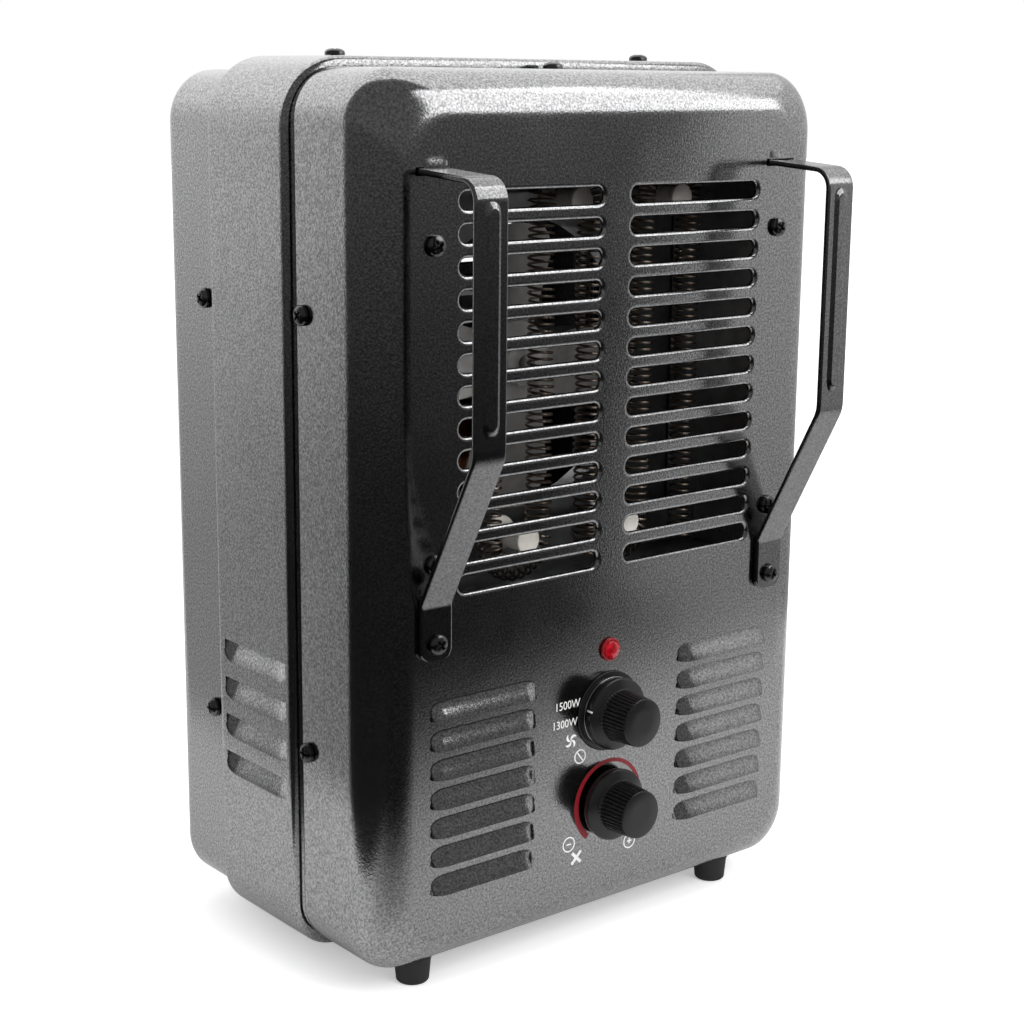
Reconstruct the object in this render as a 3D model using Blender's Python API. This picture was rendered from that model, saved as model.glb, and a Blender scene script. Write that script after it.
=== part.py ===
"""Portable electric space heater: sheet-metal case, wire elements, fan and controls.

Lengths in this file are millimetres and become metres when a mesh is made.
X runs across the heater, Z is up, and depth is measured back from the front face.
"""
from math import cos, pi, radians, sin, sqrt, tan

import bmesh
import bpy
from mathutils import Matrix, Vector

MM = 0.001
GAP = 0.3                      # clearance left between pieces that touch

# ---- driving dimensions (mm) -------------------------------------------------
SHEET = 1.0                    # case sheet thickness
FLOOR_Z = 0.0

SHARP_ANGLE = 35.0             # edges sharper than this are creases
RECT_STEPS = 5                 # facets in a quarter of a case corner

# outlines: half width, bottom, top, upper corner radius, lower corner radius
FRONT_RECT = (105.2, 11.2, 324.1, 17.5, 16.5)
MID_RECT = (107.4, 7.4, 327.8, 23.5, 19.0)
REAR_RECT = (104.8, 11.4, 323.0, 17.5, 16.5)

FRONT_DEPTH = 44.8             # rear rim of the front shell
MID_START = 47.7               # step of the middle shell
MID_END = 98.5
REAR_START = 99.3
REAR_END = 134.5
FRONT_EDGE_R = 15.5
REAR_EDGE_R = 9.0
RIM_REACH = 11.5               # how far the middle shell's rims reach into the pans
MID_BEND = 1.2                 # chamfer round the middle shell's edges

# spans that a cutter needs to pass a wall: face, side and top
FACE_SPAN = (-1.0, 2.0)
SIDE_SPAN = (98.0, 112.0)
TOP_SPAN = (316.0, 333.0)

SLOT_ROWS = 13
SLOT_TOP_Z = 281.3
SLOT_PITCH = 10.86
SLOT_HEIGHT = 6.4
SLOT_INNER_X = 6.0
SLOT_OUTER_X = 70.5

HOOD_ROWS = 7
HOOD_LIP_Z = 104.7
HOOD_PITCH = 10.63
HOOD_HEIGHT = 6.7
HOOD_REACH = 4.2
HOOD_INNER_X = 35.4
HOOD_OUTER_X = 82.1
HOOD_SHEET = 0.8

SIDE_VENTS = 4
SIDE_VENT_TOP_Z = 117.4
SIDE_VENT_PITCH = 14.43
SIDE_VENT_HEIGHT = 7.8
SIDE_VENT_REACH = 4.0
SIDE_VENT_START = 50.6
SIDE_VENT_END = 93.4

REAR_SLOT_ROWS = 9
REAR_SLOT_PITCH = 10.86
REAR_SLOT_TOP_Z = 259.4
REAR_SLOT_HEIGHT = 5.0
REAR_SLOT_INNER_X = 6.0
REAR_SLOT_OUTER_X = 62.0

HANDLE_X = 81.3
HANDLE_WIDTH = 13.2
HANDLE_THICK = 2.0
HANDLE_REACH = 30.8            # front face of the strap, ahead of the case
HANDLE_TAB_Z = 291.3
HANDLE_BEND_Z = 201.0
HANDLE_CREASE_Z = 146.5
HANDLE_END_Z = 127.3
HANDLE_SCREW_Z = 132.9
HANDLE_TIP = 6.0               # length of the rounded lower end
TAB_SLOT_HALF = 1.5
BEAD_HEIGHT = 1.0
BEAD_HALF = 3.0
BEAD_TOP_Z = 282.0
BEAD_BOTTOM_Z = 209.5

SELECTOR_Z = 92.3
THERMOSTAT_Z = 56.9
LENS_Z = 116.0
KNOB_REACH = 19.0
KNOB_BACK = 1.9                # skirt's rear edge, ahead of the face
SHAFT_R = 3.0
BUSHING_R = 4.2
BUSHING_HOLE_R = 4.7
LENS_HOLE_R = 3.7

FOOT_X = 76.0
FOOT_SETBACK = 19.3
FOOT_TOP_R = 7.2
FOOT_BOTTOM_R = 6.1

FACE_SCREW_X = 80.7
FACE_SCREW_Z = (267.2, 160.1)
SIDE_SCREW_Z = (242.2, 87.2)
FRONT_SIDE_SCREW_DEPTH = 41.0
REAR_SIDE_SCREW_DEPTH = 105.6
TOP_SCREW_X = 72.0
TOP_SCREW_DEPTH = 69.5
FRONT_TOP_SCREW_X = 3.7
SCREW_HEAD_R = 3.6
SCREW_HEAD_H = 2.4
SCREW_SHANK_R = 1.45
SCREW_HOLE_R = 1.8
SCREW_LENGTH = 7.0

CHAMBER_Z = 141.0              # top of the partition under the elements
CHAMBER_HALF = 74.5
CHAMBER_TOP_Z = 296.0
BAFFLE_WALL = 0.8
BAFFLE_FRONT = 2.0
CHAMBER_REAR = 48.5
RAIL_DEPTH = 33.0
RAIL_HEIGHT = 12.0
RAIL_Z = (281.0, 143.0)
INSULATOR_DEPTH = 12.0
COIL_DEPTH = 21.0
COIL_R = 5.0
COIL_RUN_STEP = 23.0
COIL_LEFT_X = -40.5
COIL_RIGHT_X = 31.3
COIL_TURN_TOP_Z = 278.7
COIL_TURN_BOTTOM_Z = 158.8

FAN_Z = 216.2
FAN_TIP_R = 52.0
FAN_OPENING_R = 55.0
FAN_BLADES = 4
FAN_FIRST_BLADE = -95.0        # degrees round from +X
BLADE_ROOT_R = 12.0
BLADE_DEPTH = 56.5
HUB_DEPTH = 50.5
SHROUD_DEPTH = 49.2
COLLAR_WALL = 1.2
COLLAR_LENGTH = 8.0
MOTOR_DEPTH = 74.0
MOTOR_STACK = 18.0
MOTOR_SHAFT_R = 2.5
ROTOR_R = 13.2
AIR_GAP = 0.8
YOKE_DEPTH = 68.0
YOKE_HALF = 10.0

TIP_X = -58.0
TIP_PIVOT_Z = 78.0
TIP_WEIGHT_Z = 36.0
TIP_FRAME_DEPTH = 64.0
TIP_PIN_R = 2.0

CUTOUT_X = 48.0
TERMINAL_X = 50.0
TERMINAL_PITCH = 15.0

GROMMET_X = 62.0
GROMMET_Z = 36.0
GROMMET_BORE_R = 3.8
GROMMET_HOLE_R = 7.5
GROMMET_REACH = 3.0            # flange outside the rear wall

FRONT_Y = (HANDLE_REACH + BEAD_HEIGHT - REAR_END - GROMMET_REACH) / 2


# ---- scene and materials -----------------------------------------------------
def clear_scene():
    """Remove whatever the scene holds."""
    for item in list(bpy.data.objects):
        bpy.data.objects.remove(item, do_unlink=True)


def finish(name, colour, roughness, metallic):
    """A plain Principled finish."""
    material = bpy.data.materials.new(name)
    material.use_nodes = True
    shader = material.node_tree.nodes["Principled BSDF"]
    shader.inputs["Base Color"].default_value = (*colour, 1.0)
    shader.inputs["Roughness"].default_value = roughness
    shader.inputs["Metallic"].default_value = metallic
    material.diffuse_color = (*colour, 1.0)
    return material


FINISHES = {
    "case": ((0.10, 0.10, 0.105), 0.42, 0.6),
    "black_plastic": ((0.02, 0.02, 0.022), 0.4, 0.0),
    "rubber": ((0.015, 0.015, 0.015), 0.8, 0.0),
    "red_lens": ((0.55, 0.01, 0.02), 0.1, 0.0),
    "glow_glass": ((0.8, 0.35, 0.2), 0.1, 0.0),
    "black_steel": ((0.03, 0.03, 0.03), 0.35, 0.8),
    "zinc_steel": ((0.55, 0.56, 0.57), 0.35, 1.0),
    "aluminium": ((0.8, 0.8, 0.8), 0.3, 1.0),
    "element_wire": ((0.30, 0.26, 0.22), 0.45, 1.0),
    "ceramic": ((0.85, 0.83, 0.78), 0.45, 0.0),
    "lamination": ((0.25, 0.25, 0.27), 0.5, 0.9),
    "winding": ((0.55, 0.22, 0.08), 0.4, 0.6),
    "switch_body": ((0.06, 0.05, 0.045), 0.5, 0.0),
}
MATERIALS = {}


# ---- mesh helpers ------------------------------------------------------------
def at(x, depth, z):
    """A point in metres from millimetres across, back from the face, and up."""
    return Vector((x * MM, (FRONT_Y + depth) * MM, z * MM))


def add_object(name, mesh, origin, slot):
    """Put a mesh, given in world metres, in the scene with its origin at a point."""
    mesh.transform(Matrix.Translation(-origin))
    item = bpy.data.objects.new(name, mesh)
    item.location = origin
    bpy.context.collection.objects.link(item)
    if slot not in MATERIALS:
        MATERIALS[slot] = finish(slot, *FINISHES[slot])
    mesh.materials.append(MATERIALS[slot])
    mesh.shade_smooth()
    mesh.set_sharp_from_angle(angle=radians(SHARP_ANGLE))
    return item


def mesh_from(bm, name):
    """Close, orient and hand over a bmesh."""
    bmesh.ops.recalc_face_normals(bm, faces=bm.faces)
    mesh = bpy.data.meshes.new(name)
    bm.to_mesh(mesh)
    bm.free()
    return mesh


def rings_mesh(name, rings, closed=False):
    """Skin rings of equal length; the ends are capped unless the last meets the first."""
    bm = bmesh.new()
    rows = [[bm.verts.new(point) for point in ring] for ring in rings]
    pairs = list(zip(rows, rows[1:]))
    if closed:
        pairs.append((rows[-1], rows[0]))
    for low, high in pairs:
        for i in range(len(low)):
            j = (i + 1) % len(low)
            bm.faces.new((low[i], low[j], high[j], high[i]))
    if not closed:
        bm.faces.new(rows[0])
        bm.faces.new(list(reversed(rows[-1])))
    return mesh_from(bm, name)


def turned_mesh(name, profile, segments, centre, axis):
    """Turn (radius, distance) points about an axis line; the end points close on the axis."""
    direction = Vector(axis)
    side = direction.orthogonal().normalized()
    other = direction.cross(side)
    bm = bmesh.new()
    rows = []
    for radius, distance in profile:
        middle = centre + direction * distance * MM
        if radius == 0:
            rows.append([bm.verts.new(middle)])
            continue
        row = []
        for i in range(segments):
            angle = 2 * pi * i / segments
            row.append(bm.verts.new(middle + (side * cos(angle) + other * sin(angle)) * radius * MM))
        rows.append(row)
    if len(rows[0]) > 1:
        rows.append(rows[0])
    for low, high in zip(rows, rows[1:]):
        for i in range(segments):
            j = (i + 1) % segments
            corners = [low[i % len(low)], low[j % len(low)], high[j % len(high)], high[i % len(high)]]
            bm.faces.new(list(dict.fromkeys(corners)))
    return mesh_from(bm, name)


def hull_mesh(name, points):
    """The convex solid around some points."""
    bm = bmesh.new()
    for point in points:
        bm.verts.new(point)
    result = bmesh.ops.convex_hull(bm, input=bm.verts)
    loose = [v for v in result["geom_interior"] if isinstance(v, bmesh.types.BMVert)]
    bmesh.ops.delete(bm, geom=loose, context="VERTS")
    return mesh_from(bm, name)


def block_mesh(name, low, high):
    """A box between two corners given in millimetres."""
    corners = [at(x, y, z) for x in (low[0], high[0]) for y in (low[1], high[1]) for z in (low[2], high[2])]
    return hull_mesh(name, corners)


def prism_mesh(name, outline, first, last):
    """A flat outline of (x, z) points carried from one depth to another."""
    rings = [[at(x, depth, z) for x, z in outline] for depth in (first, last)]
    return rings_mesh(name, rings)


def strap_mesh(name, path, sections):
    """A strap along (depth, z) points; a section gives its outline as (x, outward) points."""
    rings = []
    for i, (depth, z) in enumerate(path):
        before = Vector(path[max(i - 1, 0)])
        after = Vector(path[min(i + 1, len(path) - 1)])
        heading = (after - before).normalized()
        outward = Vector((heading.y, -heading.x))
        turn = 1.0
        if 0 < i < len(path) - 1:
            into = (Vector((depth, z)) - before).normalized()
            turn = 1.0 / max(into.dot(heading), 0.5)
        ring = [at(x, depth + outward.x * out * turn, z + outward.y * out * turn) for x, out in sections[i]]
        rings.append(ring)
    return rings_mesh(name, rings)


def rounded_path(corners, steps=4):
    """Replace each (a, b, radius) corner of an open path with an arc of a few points."""
    path = [Vector(corners[0][:2])]
    for before, corner, after in zip(corners, corners[1:], corners[2:]):
        here = Vector(corner[:2])
        into = (here - Vector(before[:2])).normalized()
        out = (Vector(after[:2]) - here).normalized()
        angle = into.angle(out)
        reach = corner[2] * tan(angle / 2)
        start = here - into * reach
        turn = 1 if into.x * out.y - into.y * out.x > 0 else -1
        normal = Vector((-into.y, into.x)) * turn
        centre = start + normal * corner[2]
        for i in range(steps + 1):
            part = angle * i / steps
            path.append(centre - normal * corner[2] * cos(part) + into * corner[2] * sin(part))
    path.append(Vector(corners[-1][:2]))
    return [tuple(point) for point in path]


def outline(half_width, bottom, top, upper_radius, lower_radius):
    """A rectangle with round corners, as (x, z) points, counter-clockwise from the front."""
    points = []
    corners = (
        (1, bottom + lower_radius, lower_radius, -90),
        (1, top - upper_radius, upper_radius, 0),
        (-1, top - upper_radius, upper_radius, 90),
        (-1, bottom + lower_radius, lower_radius, 180),
    )
    for side, centre_z, radius, start in corners:
        for i in range(RECT_STEPS + 1):
            angle = radians(start + 90 * i / RECT_STEPS)
            centre_x = side * (half_width - radius)
            points.append((centre_x + radius * cos(angle), centre_z + radius * sin(angle)))
    return points


def grow(rect, amount):
    """Move an outline out by an amount, or in where it is negative."""
    half_width, bottom, top, upper, lower = rect
    return (half_width + amount, bottom - amount, top + amount, upper + amount, lower + amount)


def draw_in(rect, amount):
    """Move an outline's straight sides in and keep its corner radii."""
    half_width, bottom, top, upper, lower = rect
    return (half_width - amount, bottom + amount, top - amount, upper, lower)


def ring_at(rect, depth):
    """One ring of a case shell."""
    return [at(x, depth, z) for x, z in outline(*rect)]


def stadium(x0, x1, z, height, steps=4):
    """A slot outline with round ends."""
    radius = height / 2
    points = []
    for i in range(steps + 1):
        angle = radians(-90 + 180 * i / steps)
        points.append((x1 - radius + radius * cos(angle), z + radius * sin(angle)))
    for i in range(steps + 1):
        angle = radians(90 + 180 * i / steps)
        points.append((x0 + radius + radius * cos(angle), z + radius * sin(angle)))
    return points


def merge(meshes, name):
    """Put several meshes in one, as separate bodies for one Boolean."""
    bm = bmesh.new()
    for mesh in meshes:
        bm.from_mesh(mesh)
        bpy.data.meshes.remove(mesh)
    mesh = bpy.data.meshes.new(name)
    bm.to_mesh(mesh)
    bm.free()
    return mesh


def boolean(item, meshes, operation, label):
    """Cut or add a group of meshes with one Boolean modifier."""
    tool_mesh = merge(meshes, item.name + "_" + label)
    tool = bpy.data.objects.new(item.name + "_" + label, tool_mesh)
    tool.hide_render = True
    tool.display_type = "WIRE"
    bpy.context.collection.objects.link(tool)
    modifier = item.modifiers.new(label, "BOOLEAN")
    modifier.operation = operation
    modifier.solver = "EXACT"
    modifier.object = tool


def cylinder(radius, start, end, segments=16):
    """A cylinder between two points in metres."""
    axis = end - start
    length = axis.length / MM
    return turned_mesh("cylinder", [(0, 0), (radius, 0), (radius, length), (0, length)],
                       segments, start, axis.normalized())


def through_depth(radius, x, z, span, segments=12):
    """A round cutter along the depth."""
    return cylinder(radius, at(x, span[0], z), at(x, span[1], z), segments)


def side_hole(side, depth, z):
    """A screw hole cutter through a side wall."""
    return cylinder(SCREW_HOLE_R, at(side * SIDE_SPAN[0], depth, z), at(side * SIDE_SPAN[1], depth, z), 8)


def top_hole(x, depth):
    """A screw hole cutter through the top."""
    return cylinder(SCREW_HOLE_R, at(x, depth, TOP_SPAN[0]), at(x, depth, TOP_SPAN[1]), 8)


def sweep_flat(path, half_height, thickness, middle_z):
    """Rings of a flat strip on edge, carried along (x, depth) points."""
    rings = []
    for i, (x, depth) in enumerate(path):
        before = Vector(path[max(i - 1, 0)])
        after = Vector(path[min(i + 1, len(path) - 1)])
        heading = (after - before).normalized()
        side = Vector((-heading.y, heading.x)) * thickness / 2
        ring = []
        for s, t in ((1, 1), (1, -1), (-1, -1), (-1, 1)):
            ring.append(at(x + side.x * s, depth + side.y * s, middle_z + half_height * t))
        rings.append(ring)
    return rings


# ---- case ---------------------------------------------------------------------
def pan_rings(rect, rim, face, edge_radius, wall, steps=4):
    """Rings of a pan: up the outside to its face, then back down the inside."""
    sign = 1 if rim > face else -1
    inner_rect = grow(rect, -wall)
    inner_radius = edge_radius - wall
    outer = [ring_at(rect, rim)]
    inner = [ring_at(inner_rect, rim)]
    for i in range(steps + 1):
        angle = pi / 2 * i / steps
        inset = 1 - cos(angle)
        rise = 1 - sin(angle)
        outer.append(ring_at(draw_in(rect, edge_radius * inset), face + sign * edge_radius * rise))
        inner_depth = face + sign * (wall + inner_radius * rise)
        inner.append(ring_at(draw_in(inner_rect, inner_radius * inset), inner_depth))
    return outer, inner


def pan(name, rect, rim, face, edge_radius):
    """A pressed pan: open at its rim, closed by its face, with a rolled edge."""
    outer, inner = pan_rings(rect, rim, face, edge_radius, SHEET)
    bm = bmesh.new()
    rows = [[bm.verts.new(point) for point in ring] for ring in list(reversed(outer)) + inner]
    for low, high in zip(rows, rows[1:]):
        for i in range(len(low)):
            j = (i + 1) % len(low)
            bm.faces.new((low[i], low[j], high[j], high[i]))
    bm.faces.new(rows[0])
    bm.faces.new(list(reversed(rows[-1])))
    return add_object(name, mesh_from(bm, name), at(0, face, (rect[1] + rect[2]) / 2), "case")


def hood(x0, x1, lip_z, inset):
    """A louvre wedge whose lip stands off the face; an inset shrinks it to make the hollow."""
    low = lip_z - (GAP if inset else 0.0)
    rise = lip_z + HOOD_HEIGHT - 2.0 * inset
    back = (2.0 if inset else 0.6) * SHEET
    front = inset - HOOD_REACH
    corners = []
    for edge, way in ((x0, 1), (x1, -1)):
        near = edge + way * inset
        far = near + way * HOOD_REACH
        shoulder = near + way * 0.35 * HOOD_REACH
        corners += [at(near, back, low), at(near, 0.0, low), at(shoulder, front + 0.25 * HOOD_REACH, low),
                    at(far, front, low)]
        corners += [at(edge + way * HOOD_REACH, back, rise), at(edge + way * HOOD_REACH, 0.0, rise)]
    return hull_mesh("hood", corners)


def side_vent(side, top_z, inset):
    """A louvre pressed into a side wall, deepest at its top, where the slit is."""
    wall = MID_RECT[0]
    y0 = SIDE_VENT_START - inset
    y1 = SIDE_VENT_END + inset
    end = SIDE_VENT_REACH
    bottom = top_z - SIDE_VENT_HEIGHT - 2.0 * inset
    top = top_z + (0.0 if inset else 0.5)
    deep = wall - SIDE_VENT_REACH - inset
    outer = wall + (-0.5 * SHEET if inset else SHEET)
    corners = []
    for depth, slope in ((y0, end), (y1, -end)):
        corners += [at(side * outer, depth, top), at(side * outer, depth, bottom)]
        corners += [at(side * (wall - SHEET / 2), depth, bottom)]
        corners += [at(side * deep, depth + slope, top)]
    return hull_mesh("side_vent", corners)


def make_front_shell():
    """Front pan with the grille, the lower louvres and the holes for the controls."""
    shell = pan("front_shell", FRONT_RECT, FRONT_DEPTH, 0.0, FRONT_EDGE_R)
    hoods = []
    hollows = []
    for side in (-1, 1):
        for row in range(HOOD_ROWS):
            lip_z = HOOD_LIP_Z - row * HOOD_PITCH
            x0, x1 = sorted((side * HOOD_INNER_X, side * HOOD_OUTER_X))
            hoods.append(hood(x0, x1, lip_z, 0.0))
            hollows.append(hood(x0, x1, lip_z, HOOD_SHEET))
    boolean(shell, hoods, "UNION", "hoods")
    cuts = hollows
    for side in (-1, 1):
        for row in range(SLOT_ROWS):
            x0, x1 = sorted((side * SLOT_INNER_X, side * SLOT_OUTER_X))
            shape = stadium(x0, x1, SLOT_TOP_Z - row * SLOT_PITCH, SLOT_HEIGHT)
            cuts.append(prism_mesh("slot", shape, *FACE_SPAN))
        for z in FACE_SCREW_Z:
            cuts.append(through_depth(SCREW_HOLE_R, side * FACE_SCREW_X, z, FACE_SPAN, 8))
        cuts.append(through_depth(SCREW_HOLE_R, side * HANDLE_X, HANDLE_SCREW_Z, FACE_SPAN, 8))
        tab = HANDLE_WIDTH / 2 + 2 * GAP
        cuts.append(block_mesh("tab_slot",
                               (side * HANDLE_X - tab, FACE_SPAN[0], HANDLE_TAB_Z - TAB_SLOT_HALF),
                               (side * HANDLE_X + tab, FACE_SPAN[1], HANDLE_TAB_Z + TAB_SLOT_HALF)))
        for z in SIDE_SCREW_Z:
            cuts.append(side_hole(side, FRONT_SIDE_SCREW_DEPTH, z))
    cuts.append(top_hole(FRONT_TOP_SCREW_X, FRONT_SIDE_SCREW_DEPTH))
    cuts.append(through_depth(BUSHING_HOLE_R, 0, SELECTOR_Z, FACE_SPAN))
    cuts.append(through_depth(BUSHING_HOLE_R, 0, THERMOSTAT_Z, FACE_SPAN))
    cuts.append(through_depth(LENS_HOLE_R, 0, LENS_Z, FACE_SPAN))
    boolean(shell, cuts, "DIFFERENCE", "openings")


def make_mid_shell():
    """Middle band: it stands proud of both pans and has a rim inside each."""
    front_rim = grow(FRONT_RECT, -SHEET - GAP)
    rear_rim = grow(REAR_RECT, -SHEET - GAP)
    bend = MID_BEND
    start = MID_START
    end = MID_END
    stations = [
        (front_rim, start - RIM_REACH), (front_rim, start),
        (grow(MID_RECT, -bend), start), (MID_RECT, start + bend),
        (MID_RECT, end - bend), (grow(MID_RECT, -bend), end),
        (rear_rim, end), (rear_rim, end + RIM_REACH),
        (grow(rear_rim, -SHEET), end + RIM_REACH), (grow(rear_rim, -SHEET), end - SHEET),
        (grow(MID_RECT, -SHEET), end - SHEET), (grow(MID_RECT, -SHEET), start + SHEET),
        (grow(front_rim, -SHEET), start + SHEET), (grow(front_rim, -SHEET), start - RIM_REACH),
    ]
    mesh = rings_mesh("mid_shell", [ring_at(rect, depth) for rect, depth in stations], closed=True)
    middle_z = (MID_RECT[1] + MID_RECT[2]) / 2
    shell = add_object("mid_shell", mesh, at(0, MID_START, middle_z), "case")
    boxes = []
    cuts = []
    for side in (-1, 1):
        for row in range(SIDE_VENTS):
            top_z = SIDE_VENT_TOP_Z - row * SIDE_VENT_PITCH
            boxes.append(side_vent(side, top_z, 0.8))
            cuts.append(side_vent(side, top_z, 0.0))
        cuts.append(top_hole(side * TOP_SCREW_X, TOP_SCREW_DEPTH))
        for z in SIDE_SCREW_Z:
            for depth in (FRONT_SIDE_SCREW_DEPTH, REAR_SIDE_SCREW_DEPTH):
                cuts.append(side_hole(side, depth, z))
    cuts.append(top_hole(FRONT_TOP_SCREW_X, FRONT_SIDE_SCREW_DEPTH))
    cuts.append(top_hole(0, REAR_SIDE_SCREW_DEPTH))
    boolean(shell, boxes, "UNION", "pressings")
    boolean(shell, cuts, "DIFFERENCE", "openings")


def make_rear_cover():
    """Rear pan with the air inlet slots and the cord hole."""
    cover = pan("rear_cover", REAR_RECT, REAR_START, REAR_END, REAR_EDGE_R)
    cuts = []
    span = (REAR_END - 3, REAR_END + 2)
    for side in (-1, 1):
        for row in range(REAR_SLOT_ROWS):
            x0, x1 = sorted((side * REAR_SLOT_INNER_X, side * REAR_SLOT_OUTER_X))
            z = REAR_SLOT_TOP_Z - row * REAR_SLOT_PITCH
            cuts.append(prism_mesh("slot", stadium(x0, x1, z, REAR_SLOT_HEIGHT, 3), *span))
        for z in SIDE_SCREW_Z:
            cuts.append(side_hole(side, REAR_SIDE_SCREW_DEPTH, z))
    cuts.append(top_hole(0, REAR_SIDE_SCREW_DEPTH))
    cuts.append(through_depth(GROMMET_HOLE_R, GROMMET_X, GROMMET_Z, span, 20))
    boolean(cover, cuts, "DIFFERENCE", "openings")


def make_feet():
    """Four tapered rubber feet."""
    places = (("front", FOOT_SETBACK, FRONT_RECT[1]), ("rear", REAR_END - FOOT_SETBACK, REAR_RECT[1]))
    for row, depth, under in places:
        for word, side in (("left", -1), ("right", 1)):
            top = under - GAP
            profile = [(0, 0), (FOOT_BOTTOM_R - 1.0, 0), (FOOT_BOTTOM_R, 1.0), (FOOT_TOP_R, top), (0, top)]
            base = at(side * FOOT_X, depth, FLOOR_Z)
            mesh = turned_mesh("foot", profile, 14, base, (0, 0, 1))
            add_object(f"foot_{row}_{word}", mesh, base, "rubber")


# ---- handles ------------------------------------------------------------------
def handle_section(bead):
    """The strap's outline as (across, outward) points, with a bead on its outer face."""
    half = HANDLE_WIDTH / 2
    back = -HANDLE_THICK / 2
    front = HANDLE_THICK / 2
    skirt = BEAD_HALF + 0.9
    return [(-half, back), (half, back), (half, front), (skirt, front),
            (BEAD_HALF, front + bead), (-BEAD_HALF, front + bead), (-skirt, front), (-half, front)]


def make_handle(word, side):
    """A flat steel strap: hooked through the face at the top, screwed to it at its foot."""
    run = -(HANDLE_REACH - HANDLE_THICK / 2)
    foot = -(GAP + HANDLE_THICK / 2)
    # (depth, height, bend radius) of each corner, from the hooked tab down to the foot
    corners = [(5.0, HANDLE_TAB_Z + 7.5, 0), (5.0, HANDLE_TAB_Z + 0.3, 2.0),
               (run, HANDLE_TAB_Z - 2.0, 7.0), (run, HANDLE_BEND_Z, 12.0),
               (foot, HANDLE_CREASE_Z, 5.0), (foot, HANDLE_END_Z, 0)]
    path = rounded_path(corners)
    vertical = [p for p in path if abs(p[0] - run) < 0.01]
    top = vertical.index(max(vertical, key=lambda p: p[1]))
    start = path.index(vertical[top]) + 1
    beads = [0.0] * len(path)
    for z, height in ((BEAD_TOP_Z, 0.0), (BEAD_TOP_Z - 2, BEAD_HEIGHT),
                      (BEAD_BOTTOM_Z + 2, BEAD_HEIGHT), (BEAD_BOTTOM_Z, 0.0)):
        path.insert(start, (run, z))
        beads.insert(start, height)
        start += 1
    tip = [(foot, HANDLE_END_Z + rise) for rise in (HANDLE_TIP, 0.6 * HANDLE_TIP, 0.2 * HANDLE_TIP)]
    path[-1:-1] = tip
    beads[-1:-1] = [0.0] * len(tip)
    sections = []
    for (depth, z), bead in zip(path, beads):
        drop = max(HANDLE_END_Z + HANDLE_TIP - z, 0.0)
        scale = 0.6 + 0.4 * sqrt(1 - (0.97 * drop / HANDLE_TIP) ** 2)
        sections.append([(side * HANDLE_X + x * scale, out) for x, out in handle_section(bead)])
    name = word + "_handle"
    strap = strap_mesh(name, path, sections)
    handle = add_object(name, strap, at(side * HANDLE_X, 0, HANDLE_TAB_Z), "case")
    boolean(handle, [through_depth(SCREW_HOLE_R, side * HANDLE_X, HANDLE_SCREW_Z, (-5, 2), 8)],
            "DIFFERENCE", "screw_hole")


# ---- controls -----------------------------------------------------------------
def make_knob(name, z):
    """A fluted-style control knob with a skirt, hollow behind, turning on its shaft."""
    back = KNOB_BACK
    bore = SHAFT_R + GAP
    profile = [(0, KNOB_REACH), (8.7, KNOB_REACH), (9.1, KNOB_REACH - 0.5), (11.6, 8.2), (14.6, 5.0),
               (14.6, back), (13.0, back), (13.0, 3.6), (bore, 3.6), (bore, 15.0), (0, 15.0)]
    mesh = turned_mesh(name, profile, 24, at(0, 0, z), (0, -1, 0))
    add_object(name, mesh, at(0, 0, z), "black_plastic")


def make_shaft(name, z):
    """The control's shaft, from inside the switch to inside the knob."""
    profile = [(0, -11.0), (SHAFT_R, -11.0), (SHAFT_R, 14.5), (0, 14.5)]
    mesh = turned_mesh(name, profile, 12, at(0, 0, z), (0, -1, 0))
    add_object(name, mesh, at(0, 0, z), "zinc_steel")


def make_switch(name, z, half_width, half_height, rear, slot):
    """A switch or thermostat body with its threaded bushing through the face."""
    body = block_mesh(name, (-half_width, 4.0, z - half_height), (half_width, rear, z + half_height))
    item = add_object(name, body, at(0, 4.0, z), slot)
    boolean(item, [through_depth(BUSHING_R, 0, z, (-1.4, 8.0))], "UNION", "bushing")
    boolean(item, [through_depth(SHAFT_R + GAP, 0, z, (-3.0, 12.0))], "DIFFERENCE", "bore")


def make_controls():
    """Selector, thermostat and the lamp with its lens."""
    make_switch("selector_switch", SELECTOR_Z, 15.0, 11.0, 24.0, "switch_body")
    make_switch("thermostat", THERMOSTAT_Z, 13.0, 14.0, 28.0, "ceramic")
    make_shaft("selector_shaft", SELECTOR_Z)
    make_shaft("thermostat_shaft", THERMOSTAT_Z)
    make_knob("selector_knob", SELECTOR_Z)
    make_knob("thermostat_knob", THERMOSTAT_Z)
    ring = turned_mesh("selector_bezel", [(5.0, 0.3), (15.2, 0.3), (15.2, 1.0), (14.6, 1.5), (5.0, 1.5)],
                       24, at(0, 0, SELECTOR_Z), (0, -1, 0))
    add_object("selector_bezel", ring, at(0, 0, SELECTOR_Z), "zinc_steel")
    lens = [(0, 3.6), (2.2, 3.2), (3.9, 2.1), (4.6, 0.9), (4.6, 0.3), (3.4, 0.3), (3.4, -9.0),
            (2.4, -9.0), (2.4, 1.5), (0, 1.5)]
    mesh = turned_mesh("indicator_lens", lens, 18, at(0, 0, LENS_Z), (0, -1, 0))
    add_object("indicator_lens", mesh, at(0, 0, LENS_Z), "red_lens")
    lamp = [(0, 0.8), (1.2, 0.4), (2.0, -0.8), (2.0, -14.0), (0, -14.0)]
    mesh = turned_mesh("indicator_lamp", lamp, 12, at(0, 0, LENS_Z), (0, -1, 0))
    add_object("indicator_lamp", mesh, at(0, 0, LENS_Z), "glow_glass")


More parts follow.
